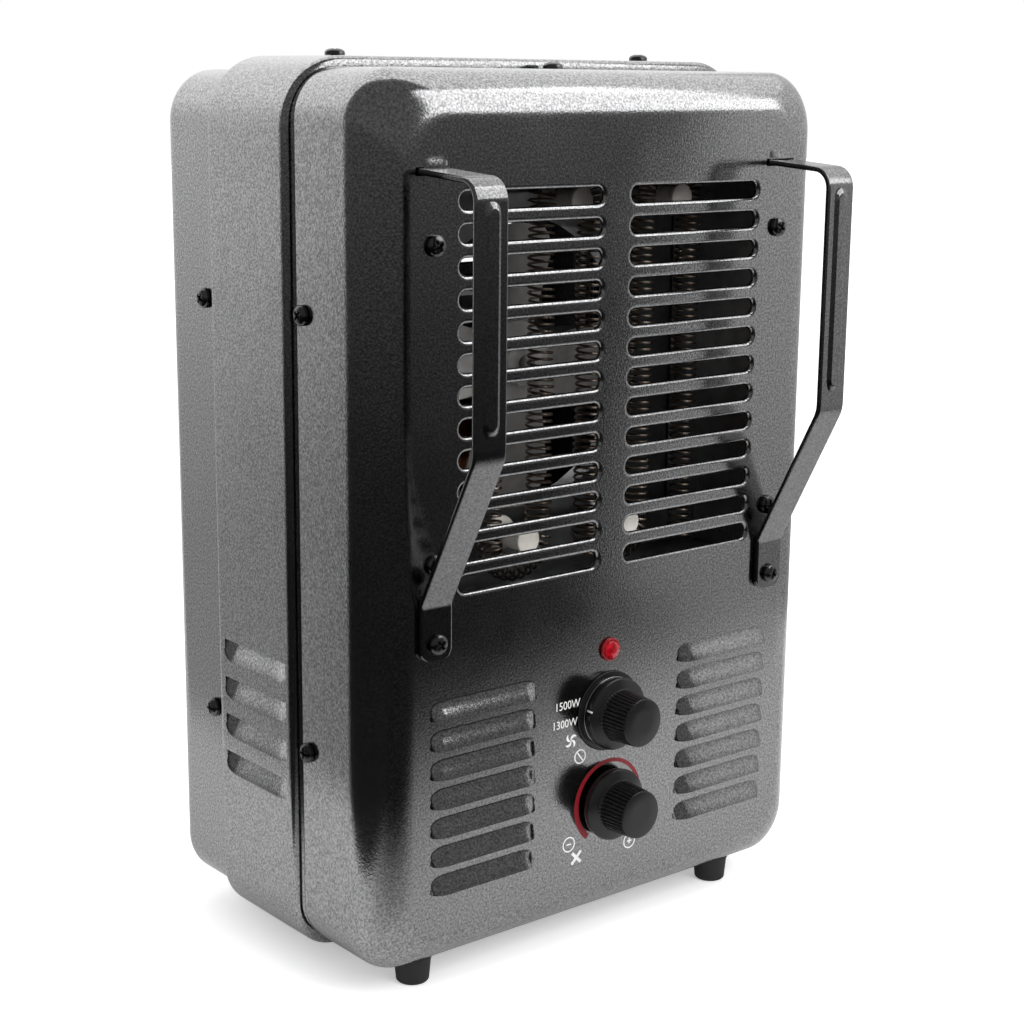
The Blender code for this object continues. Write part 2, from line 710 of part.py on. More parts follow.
# ---- heat chamber -------------------------------------------------------------
def make_chamber():
    """Partition, baffle and element rails."""
    narrow = 86.0
    wide = 102.4
    plan = [(-narrow, 3.5), (narrow, 3.5), (wide, 20.0),
            (wide, CHAMBER_REAR), (-wide, CHAMBER_REAR), (-wide, 20.0)]
    rings = [[at(x, y, z) for x, y in plan] for z in (CHAMBER_Z - SHEET, CHAMBER_Z)]
    add_object("partition_plate", rings_mesh("partition_plate", rings), at(0, CHAMBER_REAR, CHAMBER_Z),
               "zinc_steel")

    wall = BAFFLE_WALL
    inner = CHAMBER_HALF - wall
    low = CHAMBER_Z + GAP
    u_shape = [(-CHAMBER_HALF, low), (-CHAMBER_HALF, CHAMBER_TOP_Z), (CHAMBER_HALF, CHAMBER_TOP_Z),
               (CHAMBER_HALF, low), (inner, low), (inner, CHAMBER_TOP_Z - wall),
               (-inner, CHAMBER_TOP_Z - wall), (-inner, low)]
    baffle = add_object("heat_baffle", prism_mesh("heat_baffle", u_shape, BAFFLE_FRONT, CHAMBER_REAR),
                        at(0, CHAMBER_REAR, CHAMBER_TOP_Z), "zinc_steel")
    flanges = []
    holes = []
    for side in (-1, 1):
        x0, x1 = sorted((side * (CHAMBER_HALF - wall / 2), side * 87.0))
        flanges.append(block_mesh("flange", (x0, BAFFLE_FRONT, 150.0), (x1, BAFFLE_FRONT + wall, 280.0)))
        for z in FACE_SCREW_Z:
            holes.append(through_depth(SCREW_HOLE_R, side * FACE_SCREW_X, z, (1.0, 4.0), 8))
    boolean(baffle, flanges, "UNION", "flanges")
    boolean(baffle, holes, "DIFFERENCE", "screw_holes")

    rail_half = inner - GAP
    for word, z in zip(("top", "bottom"), RAIL_Z):
        name = "element_rail_" + word
        back = RAIL_DEPTH + SHEET
        mesh = block_mesh(name, (-rail_half, RAIL_DEPTH, z), (rail_half, back, z + RAIL_HEIGHT))
        add_object(name, mesh, at(0, back, z), "zinc_steel")


def make_shroud():
    """The plate around the fan, with a collar and two air windows below."""
    back = SHROUD_DEPTH + SHEET
    plate = prism_mesh("fan_shroud", outline(*grow(MID_RECT, -SHEET - GAP)), SHROUD_DEPTH, back)
    shroud = add_object("fan_shroud", plate, at(0, SHROUD_DEPTH, FAN_Z), "zinc_steel")
    collar_r = FAN_OPENING_R + COLLAR_WALL
    collar = through_depth(collar_r, 0, FAN_Z, (SHROUD_DEPTH + SHEET / 2, back + COLLAR_LENGTH), 36)
    boolean(shroud, [collar], "UNION", "collar")
    cuts = [through_depth(FAN_OPENING_R, 0, FAN_Z, (SHROUD_DEPTH - 2, back + COLLAR_LENGTH + 2), 36)]
    for side in (-1, 1):
        x0, x1 = sorted((side * 22, side * 84))
        cuts.append(block_mesh("window", (x0, SHROUD_DEPTH - 2, 40), (x1, back + 2, 112)))
    boolean(shroud, cuts, "DIFFERENCE", "openings")


def coil_path(word, x0, steps=6):
    """The coil's middle line as (x, z) points.

    The left one goes down, round the lower insulator, up, round the upper one and down. The right one starts
    under its lower insulator and goes up, round the upper one and down.
    """
    turn = COIL_RUN_STEP / 2
    if word == "left":
        path = [(x0, CHAMBER_TOP_Z - 8.0)]
        turns = ((x0 + turn, COIL_TURN_BOTTOM_Z, 180, 180), (x0 + 3 * turn, COIL_TURN_TOP_Z, 180, -180))
    else:
        path = []
        turns = ((x0 - turn, COIL_TURN_BOTTOM_Z, 270, 90), (x0 + turn, COIL_TURN_TOP_Z, 180, -180))
    for centre_x, centre_z, start, sweep in turns:
        count = steps * abs(sweep) // 180
        for i in range(count + 1):
            angle = radians(start + sweep * i / count)
            path.append((centre_x + turn * cos(angle), centre_z + turn * sin(angle)))
    path.append((turns[1][0] + turn, CHAMBER_Z + 6.0))
    return path


def make_elements():
    """Two wire elements, each as the outer form of its coil, and the insulators they hang on."""
    for word, x0 in (("left", COIL_LEFT_X), ("right", COIL_RIGHT_X)):
        path = coil_path(word, x0)
        rings = []
        for i, (x, z) in enumerate(path):
            before = Vector(path[max(i - 1, 0)])
            after = Vector(path[min(i + 1, len(path) - 1)])
            heading = (after - before).normalized()
            side = Vector((-heading.y, heading.x))
            ring = []
            for k in range(8):
                angle = 2 * pi * k / 8
                out = COIL_R * cos(angle)
                ring.append(at(x + side.x * out, COIL_DEPTH + COIL_R * sin(angle), z + side.y * out))
            rings.append(ring)
        name = "heating_coil_" + word
        add_object(name, rings_mesh(name, rings), at(x0, COIL_DEPTH, COIL_TURN_TOP_Z), "element_wire")
        turn = COIL_RUN_STEP / 2
        # a spool: two flanges and the waist that the wire bears on
        spool = [(0, 0), (5.0, 0), (5.0, 2.0), (4.5, 3.0), (4.5, 15.0), (6.5, 16.0), (6.5, 18.0), (0, 18.0)]
        lower = x0 + turn if word == "left" else x0 - turn
        places = (("bottom", lower, COIL_TURN_BOTTOM_Z), ("top", lower + 2 * turn, COIL_TURN_TOP_Z))
        for label, x, z in places:
            start = at(x, INSULATOR_DEPTH, z)
            mesh = turned_mesh("insulator", spool, 12, start, (0, 1, 0))
            add_object(f"insulator_{label}_{word}", mesh, start, "ceramic")


# ---- fan and motor ------------------------------------------------------------
def blade_mesh(angle):
    """One pressed blade: a thin curved plate whose pitch falls off towards the tip."""
    rings = []
    steps = 4
    for i in range(steps + 1):
        radius = BLADE_ROOT_R + (FAN_TIP_R - BLADE_ROOT_R) * i / steps
        pitch = radians(42 - 16 * i / steps)
        chord = 26.0 + 16.0 * i / steps
        points = []
        for across, lift in ((-0.5, 0.5), (0.0, 0.5), (0.5, 0.5), (0.5, -0.5), (0.0, -0.5), (-0.5, -0.5)):
            bow = 2.0 * (1 - (2 * across) ** 2)
            along = across * chord
            depth = BLADE_DEPTH - along * sin(pitch) * 0.42 + bow + lift
            sweep = along * cos(pitch) / radius
            theta = angle + sweep
            points.append(at(radius * cos(theta), depth, FAN_Z + radius * sin(theta)))
        rings.append(points)
    return rings_mesh("blade", rings)


def make_fan():
    """The four-bladed fan on its hub."""
    bore = MOTOR_SHAFT_R + GAP
    hub = [(bore, 0), (9.0, 0), (9.0, 5.0), (16.0, 5.0), (16.0, 6.2), (9.0, 7.2), (9.0, 12.0), (bore, 12.0)]
    centre = at(0, HUB_DEPTH, FAN_Z)
    fan = add_object("fan_blade", turned_mesh("fan_blade", hub, 20, centre, (0, 1, 0)), centre, "aluminium")
    for k in range(FAN_BLADES):
        blade = blade_mesh(2 * pi * k / FAN_BLADES + radians(FAN_FIRST_BLADE))
        boolean(fan, [blade], "UNION", f"blade_{k}")
    boolean(fan, [through_depth(bore, 0, FAN_Z, (45, 70), 20)], "DIFFERENCE", "bore")


def make_motor():
    """A shaded-pole motor: rotor, laminated stator and the coil round its lower leg."""
    first = MOTOR_DEPTH
    last = MOTOR_DEPTH + MOTOR_STACK
    profile = [(0, 47.5), (MOTOR_SHAFT_R, 47.5), (MOTOR_SHAFT_R, first), (ROTOR_R, first), (ROTOR_R, last),
               (MOTOR_SHAFT_R, last), (MOTOR_SHAFT_R, 104.0), (0, 104.0)]
    mesh = turned_mesh("motor_rotor", profile, 20, at(0, 0, FAN_Z), (0, 1, 0))
    add_object("motor_rotor", mesh, at(0, first, FAN_Z), "zinc_steel")

    core = [(-28, FAN_Z - 38), (28, FAN_Z - 38), (28, FAN_Z + 24), (-28, FAN_Z + 24)]
    stator = add_object("motor_stator", prism_mesh("motor_stator", core, first, last),
                        at(0, first, FAN_Z), "lamination")
    window = [(-16, FAN_Z - 26), (16, FAN_Z - 26), (16, FAN_Z - 15.8), (-16, FAN_Z - 15.8)]
    span = (first - 2, last + 2)
    cuts = [through_depth(ROTOR_R + AIR_GAP, 0, FAN_Z, span, 20), prism_mesh("window", window, *span)]
    boolean(stator, cuts, "DIFFERENCE", "openings")

    coil = add_object("motor_coil", block_mesh("motor_coil", (-15.4, first - 8, FAN_Z - 47),
                                               (15.4, last + 8, FAN_Z - 16.2)),
                      at(0, first, FAN_Z - 32), "winding")
    hole = block_mesh("core_hole", (-20, first - GAP, FAN_Z - 38 - GAP), (20, last + GAP, FAN_Z - 26 + GAP))
    boolean(coil, [hole], "DIFFERENCE", "core_hole")



def make_motor_mount():
    """The yoke that hangs the motor on the shroud, and the rear bearing plate."""
    bearing_r = MOTOR_SHAFT_R + GAP
    # (x, depth, bend radius) of each corner of the yoke
    corners = [(-74.0, 51.2, 0), (-61.0, 51.2, 2.0), (-61.0, YOKE_DEPTH, 2.5), (61.0, YOKE_DEPTH, 2.5),
               (61.0, 51.2, 2.0), (74.0, 51.2, 0)]
    rings = sweep_flat(rounded_path(corners, 2), YOKE_HALF, 1.2, FAN_Z)
    yoke = add_object("motor_yoke", rings_mesh("motor_yoke", rings), at(0, YOKE_DEPTH, FAN_Z), "zinc_steel")
    bearing = through_depth(bearing_r, 0, FAN_Z, (YOKE_DEPTH - 4, YOKE_DEPTH + 4))
    boolean(yoke, [bearing], "DIFFERENCE", "bearing")
    near = MOTOR_DEPTH + MOTOR_STACK + 1.0
    strip = block_mesh("strip", (-26, near, FAN_Z - YOKE_HALF), (26, near + 1.2, FAN_Z + YOKE_HALF))
    plate = add_object("motor_bearing_plate", strip, at(0, near, FAN_Z), "zinc_steel")
    boolean(plate, [through_depth(bearing_r, 0, FAN_Z, (near - 2, near + 4))], "DIFFERENCE", "bearing")


# ---- safety devices and wiring --------------------------------------------------
def make_tip_switch():
    """A plate with a pin, and the weighted arm that hangs on it."""
    low = MID_RECT[1] + SHEET + GAP
    near = TIP_FRAME_DEPTH
    plate = block_mesh("plate", (TIP_X - 14, near, low), (TIP_X + 14, near + 1.5, TIP_PIVOT_Z + 8))
    frame = add_object("tip_switch_frame", plate, at(TIP_X, near, low), "switch_body")
    foot = block_mesh("foot", (TIP_X - 14, near + 1.0, low), (TIP_X + 14, near + 20.0, low + 1.5))
    pin = through_depth(TIP_PIN_R, TIP_X, TIP_PIVOT_Z, (near + 1.0, near + 10.0))
    boolean(frame, [foot, pin], "UNION", "foot_and_pin")

    taper = [(TIP_X - 3, TIP_WEIGHT_Z + 4), (TIP_X + 3, TIP_WEIGHT_Z + 4),
             (TIP_X + 5, TIP_PIVOT_Z + 4), (TIP_X - 5, TIP_PIVOT_Z + 4)]
    arm = prism_mesh("tip_pendulum", taper, near + 3.0, near + 6.0)
    pendulum = add_object("tip_pendulum", arm, at(TIP_X, near + 3.0, TIP_PIVOT_Z), "zinc_steel")
    weight = through_depth(9.0, TIP_X, TIP_WEIGHT_Z, (near + 2.5, near + 12.0), 20)
    boolean(pendulum, [weight], "UNION", "weight")
    pivot = through_depth(TIP_PIN_R + GAP, TIP_X, TIP_PIVOT_Z, (near - 4, near + 16))
    boolean(pendulum, [pivot], "DIFFERENCE", "pivot")


def make_wiring():
    """Thermal cut-out under the partition, terminal block and cord grommet."""
    under = at(CUTOUT_X, 24, CHAMBER_Z - SHEET)
    can = [(0, -9), (6.0, -9), (8.0, -7), (8.0, -GAP), (0, -GAP)]
    mesh = turned_mesh("thermal_cutout", can, 16, under, (0, 0, 1))
    add_object("thermal_cutout", mesh, under, "black_plastic")

    base = MID_RECT[1] + SHEET + GAP
    block = block_mesh("terminal_block", (TERMINAL_X - 22, 62, base), (TERMINAL_X + 22, 78, base + 14))
    item = add_object("terminal_block", block, at(TERMINAL_X, 62, base), "ceramic")
    wells = []
    for place in (-1, 0, 1):
        x = TERMINAL_X + place * TERMINAL_PITCH
        wells.append(block_mesh("well", (x - 4, 65, base + 8), (x + 4, 75, base + 16)))
    boolean(item, wells, "DIFFERENCE", "wells")

    bore = GROMMET_BORE_R
    grommet = [(bore, -6.0), (8.2, -6.0), (8.6, -1.4), (7.1, -1.3), (7.1, 0.3), (10.0, 0.3), (10.0, 1.8),
               (8.8, GROMMET_REACH), (bore, GROMMET_REACH)]
    mesh = turned_mesh("cord_grommet", grommet, 18, at(GROMMET_X, REAR_END, GROMMET_Z), (0, 1, 0))
    add_object("cord_grommet", mesh, at(GROMMET_X, REAR_END, GROMMET_Z), "black_plastic")


# ---- screws ---------------------------------------------------------------------
def make_screw(name, place, outward):
    """A pan-head screw: its head stands off the sheet and its shank goes in."""
    top = GAP + SCREW_HEAD_H
    end = GAP - SCREW_LENGTH
    profile = [(0, top), (SCREW_HEAD_R * 0.55, top - 0.15), (SCREW_HEAD_R, GAP + 0.9), (SCREW_HEAD_R, GAP),
               (SCREW_SHANK_R, GAP), (SCREW_SHANK_R, end), (0, end - 1.0)]
    add_object(name, turned_mesh(name, profile, 10, place, outward), place, "black_steel")


def make_screws():
    """Every case screw, each in its own node."""
    for word, side in (("left", -1), ("right", 1)):
        for level, z in zip(("upper", "lower"), FACE_SCREW_Z):
            make_screw(f"face_screw_{level}_{word}", at(side * FACE_SCREW_X, 0, z), (0, -1, 0))
        place = at(side * HANDLE_X, -HANDLE_THICK - GAP, HANDLE_SCREW_Z)
        make_screw(f"handle_screw_{word}", place, (0, -1, 0))
        for level, z in zip(("upper", "lower"), SIDE_SCREW_Z):
            place = at(side * FRONT_RECT[0], FRONT_SIDE_SCREW_DEPTH, z)
            make_screw(f"front_side_screw_{level}_{word}", place, (side, 0, 0))
            place = at(side * REAR_RECT[0], REAR_SIDE_SCREW_DEPTH, z)
            make_screw(f"rear_side_screw_{level}_{word}", place, (side, 0, 0))
        make_screw(f"top_screw_{word}", at(side * TOP_SCREW_X, TOP_SCREW_DEPTH, MID_RECT[2]), (0, 0, 1))
    place = at(FRONT_TOP_SCREW_X, FRONT_SIDE_SCREW_DEPTH, FRONT_RECT[2])
    make_screw("front_top_screw", place, (0, 0, 1))
    make_screw("rear_top_screw", at(0, REAR_SIDE_SCREW_DEPTH, REAR_RECT[2]), (0, 0, 1))


def main():
    """Build every piece."""
    clear_scene()
    make_front_shell()
    make_mid_shell()
    make_rear_cover()
    make_feet()
    make_handle("left", -1)
    make_handle("right", 1)
    make_controls()
    make_chamber()
    make_shroud()
    make_elements()
    make_fan()
    make_motor()
    make_motor_mount()
    make_tip_switch()
    make_wiring()
    make_screws()


main()
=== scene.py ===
"""Looks of an upright fan heater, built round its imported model.

Lengths in this file are millimetres unless a name ends in _m. X runs across the heater, Z is up, and depth is
measured back from the flat of the front face.
"""
import functools
import logging
import math
from dataclasses import dataclass, field
from enum import Enum
from typing import Callable, Iterable, Sequence

import bmesh
import bpy
import numpy as np
from mathutils import Matrix, Vector
from mathutils.geometry import delaunay_2d_cdt


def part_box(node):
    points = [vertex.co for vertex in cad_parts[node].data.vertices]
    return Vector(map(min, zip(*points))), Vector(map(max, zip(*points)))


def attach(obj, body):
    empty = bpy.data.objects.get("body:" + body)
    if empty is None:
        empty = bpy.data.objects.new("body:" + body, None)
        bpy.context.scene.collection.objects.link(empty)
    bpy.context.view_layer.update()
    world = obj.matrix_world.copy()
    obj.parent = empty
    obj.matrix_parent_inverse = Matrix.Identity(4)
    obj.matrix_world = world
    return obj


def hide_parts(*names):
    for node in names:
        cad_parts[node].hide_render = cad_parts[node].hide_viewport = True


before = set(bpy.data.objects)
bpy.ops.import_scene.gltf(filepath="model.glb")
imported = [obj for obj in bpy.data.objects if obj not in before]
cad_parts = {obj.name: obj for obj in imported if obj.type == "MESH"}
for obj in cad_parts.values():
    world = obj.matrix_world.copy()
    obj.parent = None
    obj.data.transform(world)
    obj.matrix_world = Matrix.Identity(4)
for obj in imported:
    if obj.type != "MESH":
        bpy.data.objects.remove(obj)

LOG = logging.getLogger("heater")
MM = 0.001
Array = np.ndarray
Feed = float | bpy.types.NodeSocket
Span = tuple[float, float, float, float]
FLOAT, VECTOR = "NodeSocketFloat", "NodeSocketVector"
Colour = tuple[float, float, float]
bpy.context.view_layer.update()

FRONT_DEPTH = 44.8
FACE_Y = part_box("front_shell")[1].y - FRONT_DEPTH * MM
REAR_END = (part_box("rear_cover")[1].y - FACE_Y) / MM
SHEET = 1.0
EASE = 1.5                     # width of the flat strip kept beside every bend


class Side(Enum):
    """Left and right, as seen from the front."""

    LEFT = -1
    RIGHT = 1

    @property
    def word(self) -> str:
        """The side's name in a node's name."""
        return self.name.lower()


# ---- meshes --------------------------------------------------------------------
def placed(points: Array) -> Array:
    """Turn (x, depth, z) in millimetres into frame metres.

    Args:
        points: an array whose last axis is x, depth and z.

    Returns:
        A copy in metres, with depth counted from the face's plane.
    """
    world = np.array(points, float) * MM
    world[..., 1] += FACE_Y
    return world


def inside(points: Array, loops: Sequence[Array]) -> Array:
    """Say which points lie in the region between closed loops.

    A point is in when a ray to its left crosses the loops an odd number of times.

    Args:
        points: (n, 2) points.
        loops: the outer loop and the holes, each (m, 2).

    Returns:
        A mask of n values.
    """
    crossings = np.zeros(len(points), int)
    at_x, at_y = points[:, 0, None], points[:, 1, None]
    for loop in loops:
        ax, ay = loop[:, 0], loop[:, 1]
        bx, by = np.roll(ax, -1), np.roll(ay, -1)
        spans = (ay > at_y) != (by > at_y)
        rise = np.where(by == ay, 1.0, by - ay)
        crossings += (spans & (ax + (at_y - ay) * (bx - ax) / rise < at_x)).sum(1)
    return crossings % 2 == 1


def upright(depth: float) -> Callable[[Array], Array]:
    """Return a function that stands flat (x, z) points up at one depth."""
    return lambda flat: np.stack([flat[:, 0], np.full(len(flat), depth), flat[:, 1]], -1)


class MeshPlan:
    """Grids, fans and flat patches gathered into one mesh, in millimetres."""

    def __init__(self) -> None:
        """Start with no points and no faces."""
        self.points: list[Array] = []
        self.faces: list[list[int]] = []
        self.count = 0

    def keep(self, points: Array) -> Array:
        """Store points and return their numbers, in the same shape."""
        flat = np.asarray(points, float).reshape(-1, 3)
        numbers = np.arange(len(flat)) + self.count
        self.points.append(flat)
        self.count += len(flat)
        return numbers.reshape(np.asarray(points).shape[:-1])

    def grid(self, grid: Array, wrap_rows: bool = False, wrap_columns: bool = False,
             keep_quad: Array | None = None) -> None:
        """Add quads between the rows and columns of a grid of points.

        Args:
            grid: (rows, columns, 3) points.
            wrap_rows: join the last row to the first.
            wrap_columns: join the last column to the first.
            keep_quad: a mask of the quads to keep, or None for all.
        """
        numbers = self.keep(grid)
        if wrap_columns:
            numbers = np.concatenate([numbers, numbers[:, :1]], axis=1)
        if wrap_rows:
            numbers = np.concatenate([numbers, numbers[:1]], axis=0)
        quads = np.stack([numbers[:-1, :-1], numbers[:-1, 1:], numbers[1:, 1:], numbers[1:, :-1]], axis=-1)
        quads = quads.reshape(-1, 4) if keep_quad is None else quads[keep_quad]
        self.faces += quads.tolist()

    def cap(self, ring: Array) -> None:
        """Close a ring with one flat face."""
        self.faces.append(self.keep(ring).tolist())

    def fan(self, ring: Array, centre: Sequence[float]) -> None:
        """Close a ring with triangles that meet at a centre."""
        rim = self.keep(ring)
        middle = int(self.keep(np.array([centre]))[0])
        self.faces += [[int(a), int(b), middle] for a, b in zip(rim, np.roll(rim, -1))]

    def patch(self, loops: Sequence[Array], place: Callable[[Array], Array]) -> None:
        """Fill the flat region inside the first loop and outside the others with triangles.

        Args:
            loops: closed (n, 2) loops, the outer one first.
            place: turns (n, 2) points of the flat into (n, 3) points.
        """
        flat = np.concatenate(loops)
        edges: list[tuple[int, int]] = []
        start = 0
        for loop in loops:
            numbers = np.arange(len(loop)) + start
            edges += list(zip(numbers.tolist(), np.roll(numbers, -1).tolist()))
            start += len(loop)
        result = delaunay_2d_cdt([Vector(point) for point in flat.tolist()], edges, [], 0, 1e-6)
        corners = np.array([tuple(point) for point in result[0]])
        triangles = np.array([face for face in result[2] if len(face) == 3])
        kept = triangles[inside(corners[triangles].mean(axis=1), loops)]
        numbers = self.keep(place(corners))
        self.faces += numbers[kept].tolist()

    def mesh(self, name: str) -> bpy.types.Mesh:
        """Weld the seams, turn the faces outwards and return the mesh in frame metres."""
        mesh = bpy.data.meshes.new(name)
        mesh.from_pydata(placed(np.concatenate(self.points)).tolist(), [], self.faces)
        bm = bmesh.new()
        bm.from_mesh(mesh)
        bmesh.ops.remove_doubles(bm, verts=bm.verts, dist=0.004 * MM)
        bmesh.ops.delete(bm, geom=[v for v in bm.verts if not v.link_faces], context="VERTS")
        bmesh.ops.recalc_face_normals(bm, faces=bm.faces)
        middle = sum((v.co for v in bm.verts), Vector()) / len(bm.verts)
        outward = sum(f.calc_area() * f.normal.dot(f.calc_center_median() - middle) for f in bm.faces)
        if outward < 0:
            bmesh.ops.reverse_faces(bm, faces=bm.faces)
        bm.to_mesh(mesh)
        bm.free()
        return mesh

    def piece(self, name: str, sharp: float = 40.0, wall: float = 0.0) -> bpy.types.Object:
        """Make the object.

        Args:
            name: the piece's name.
            sharp: the angle in degrees past which an edge stays a crease.
            wall: thickness of the sheet, grown inwards, or 0 for a closed solid.

        Returns:
            The object, at the origin, with its place in its mesh.
        """
        item = bpy.data.objects.new(name, self.mesh(name))
        bpy.context.scene.collection.objects.link(item)
        if wall:
            solidify = item.modifiers.new("wall", "SOLIDIFY")
            solidify.thickness = wall * MM
            solidify.offset = -1.0
            solidify.use_quality_normals = True
            graph = bpy.context.evaluated_depsgraph_get()
            solid = bpy.data.meshes.new_from_object(item.evaluated_get(graph))
            item.modifiers.clear()
            item.data = solid
        item.data.shade_smooth()
        item.data.set_sharp_from_angle(angle=math.radians(sharp))
        return item


def turned(profile: Sequence[tuple[float, float]], columns: int, centre: Sequence[float],
           axis: Sequence[float], swell: Callable[[Array, Array], Array] | None = None) -> MeshPlan:
    """Turn a profile about an axis.

    A point is the centre, plus its distance along the axis, plus its radius times (cos a, sin a) across it.

    Args:
        profile: (radius, distance) points; a closed loop, or one that starts and ends on the axis.
        columns: how many points go round.
        centre: (x, depth, z) where the distance is 0.
        axis: the direction of the distance.
        swell: gives what is added to the radius from (radius, distance) and the angle.

    Returns:
        The plan of the closed surface.
    """
    along = np.array(axis, float)
    side = np.array([1.0, 0.0, 0.0]) if abs(along[0]) < 0.9 else np.array([0.0, 1.0, 0.0])
    other = np.cross(along, side)
    rows = np.array([p for p in profile if p[0] > 0], float)
    angle = np.arange(columns) * 2 * math.pi / columns
    radius = rows[:, 0, None] + np.zeros(columns)
    if swell is not None:
        radius = radius + swell(rows, angle)
    middle = np.array(centre, float) + rows[:, 1, None] * along
    round_about = np.cos(angle)[:, None] * side + np.sin(angle)[:, None] * other
    grid = middle[:, None, :] + radius[..., None] * round_about
    plan = MeshPlan()
    on_axis = profile[0][0] == 0
    plan.grid(grid, wrap_rows=not on_axis, wrap_columns=True)
    if on_axis:
        plan.fan(grid[0], np.array(centre) + profile[0][1] * along)
        plan.fan(grid[-1], np.array(centre) + profile[-1][1] * along)
    return plan


def filleted(corners: Sequence[tuple[float, float, float]], step: float = 1.2) -> Array:
    """Round the corners of an open path and space points along it.

    Each corner becomes an arc that touches both of its legs.

    Args:
        corners: (a, b, radius) of each corner.
        step: distance between points.

    Returns:
        (n, 2) points.
    """
    path = [np.array(corners[0][:2], float)]
    for before, corner, after in zip(corners, corners[1:], corners[2:]):
        here = np.array(corner[:2], float)
        into = here - np.array(before[:2], float)
        into /= np.linalg.norm(into)
        out = np.array(after[:2], float) - here
        out /= np.linalg.norm(out)
        bend = math.acos(float(np.clip(into @ out, -1, 1)))
        turn = 1.0 if into[0] * out[1] - into[1] * out[0] > 0 else -1.0
        normal = np.array([-into[1], into[0]]) * turn
        start = here - into * corner[2] * math.tan(bend / 2)
        angle = np.linspace(0, bend, max(int(bend * corner[2] / 0.5), 4) + 1)[:, None]
        arc = start + normal * corner[2] * (1 - np.cos(angle)) + into * corner[2] * np.sin(angle)
        path += list(arc)
    path.append(np.array(corners[-1][:2], float))
    points = [path[0]]
    for a, b in zip(path, path[1:]):
        count = max(int(np.linalg.norm(b - a) / step), 1)
        points += [a + (b - a) * (i + 1) / count for i in range(count)]
    return np.array(points)


def smooth(value: Array) -> Array:
    """Ease from 0 to 1: 3 v^2 - 2 v^3 of the value held between 0 and 1."""
    held = np.clip(value, 0.0, 1.0)
    return held * held * (3 - 2 * held)


# ---- shader groups and finishes ---------------------------------------------------
def fresh_material(name: str) -> tuple[bpy.types.Material, bpy.types.Node]:
    """Make a material with nodes and return it with its shader."""
    material = bpy.data.materials.new(name)
    material.use_nodes = True
    return material, material.node_tree.nodes["Principled BSDF"]


class Desk:
    """Places and joins the nodes of one tree."""

    def __init__(self, tree: bpy.types.NodeTree) -> None:
        """Keep the tree that the nodes go in."""
        self.tree = tree

    def node(self, kind: str, sockets: dict | None = None, **settings: object) -> bpy.types.Node:
        """Add a node, set its settings, and feed or set its sockets."""
        made = self.tree.nodes.new(kind)
        for key, value in settings.items():
            setattr(made, key, value)
        for key, value in (sockets or {}).items():
            if isinstance(value, bpy.types.NodeSocket):
                self.tree.links.new(value, made.inputs[key])
            else:
                made.inputs[key].default_value = value
        return made

    def maths(self, operation: str, a: Feed, b: Feed = 0.0, clamp: bool = False) -> bpy.types.NodeSocket:
        """Return the result of a Math node."""
        return self.node("ShaderNodeMath", {0: a, 1: b}, operation=operation, use_clamp=clamp).outputs[0]

    def ramp(self, value: Feed, low: float, high: float, to_low: float, to_high: float,
             kind: str = "LINEAR") -> bpy.types.NodeSocket:
        """Return a value mapped from one range to another and held there."""
        sockets = {"Value": value, "From Min": low, "From Max": high, "To Min": to_low, "To Max": to_high}
        return self.node("ShaderNodeMapRange", sockets, interpolation_type=kind).outputs["Result"]


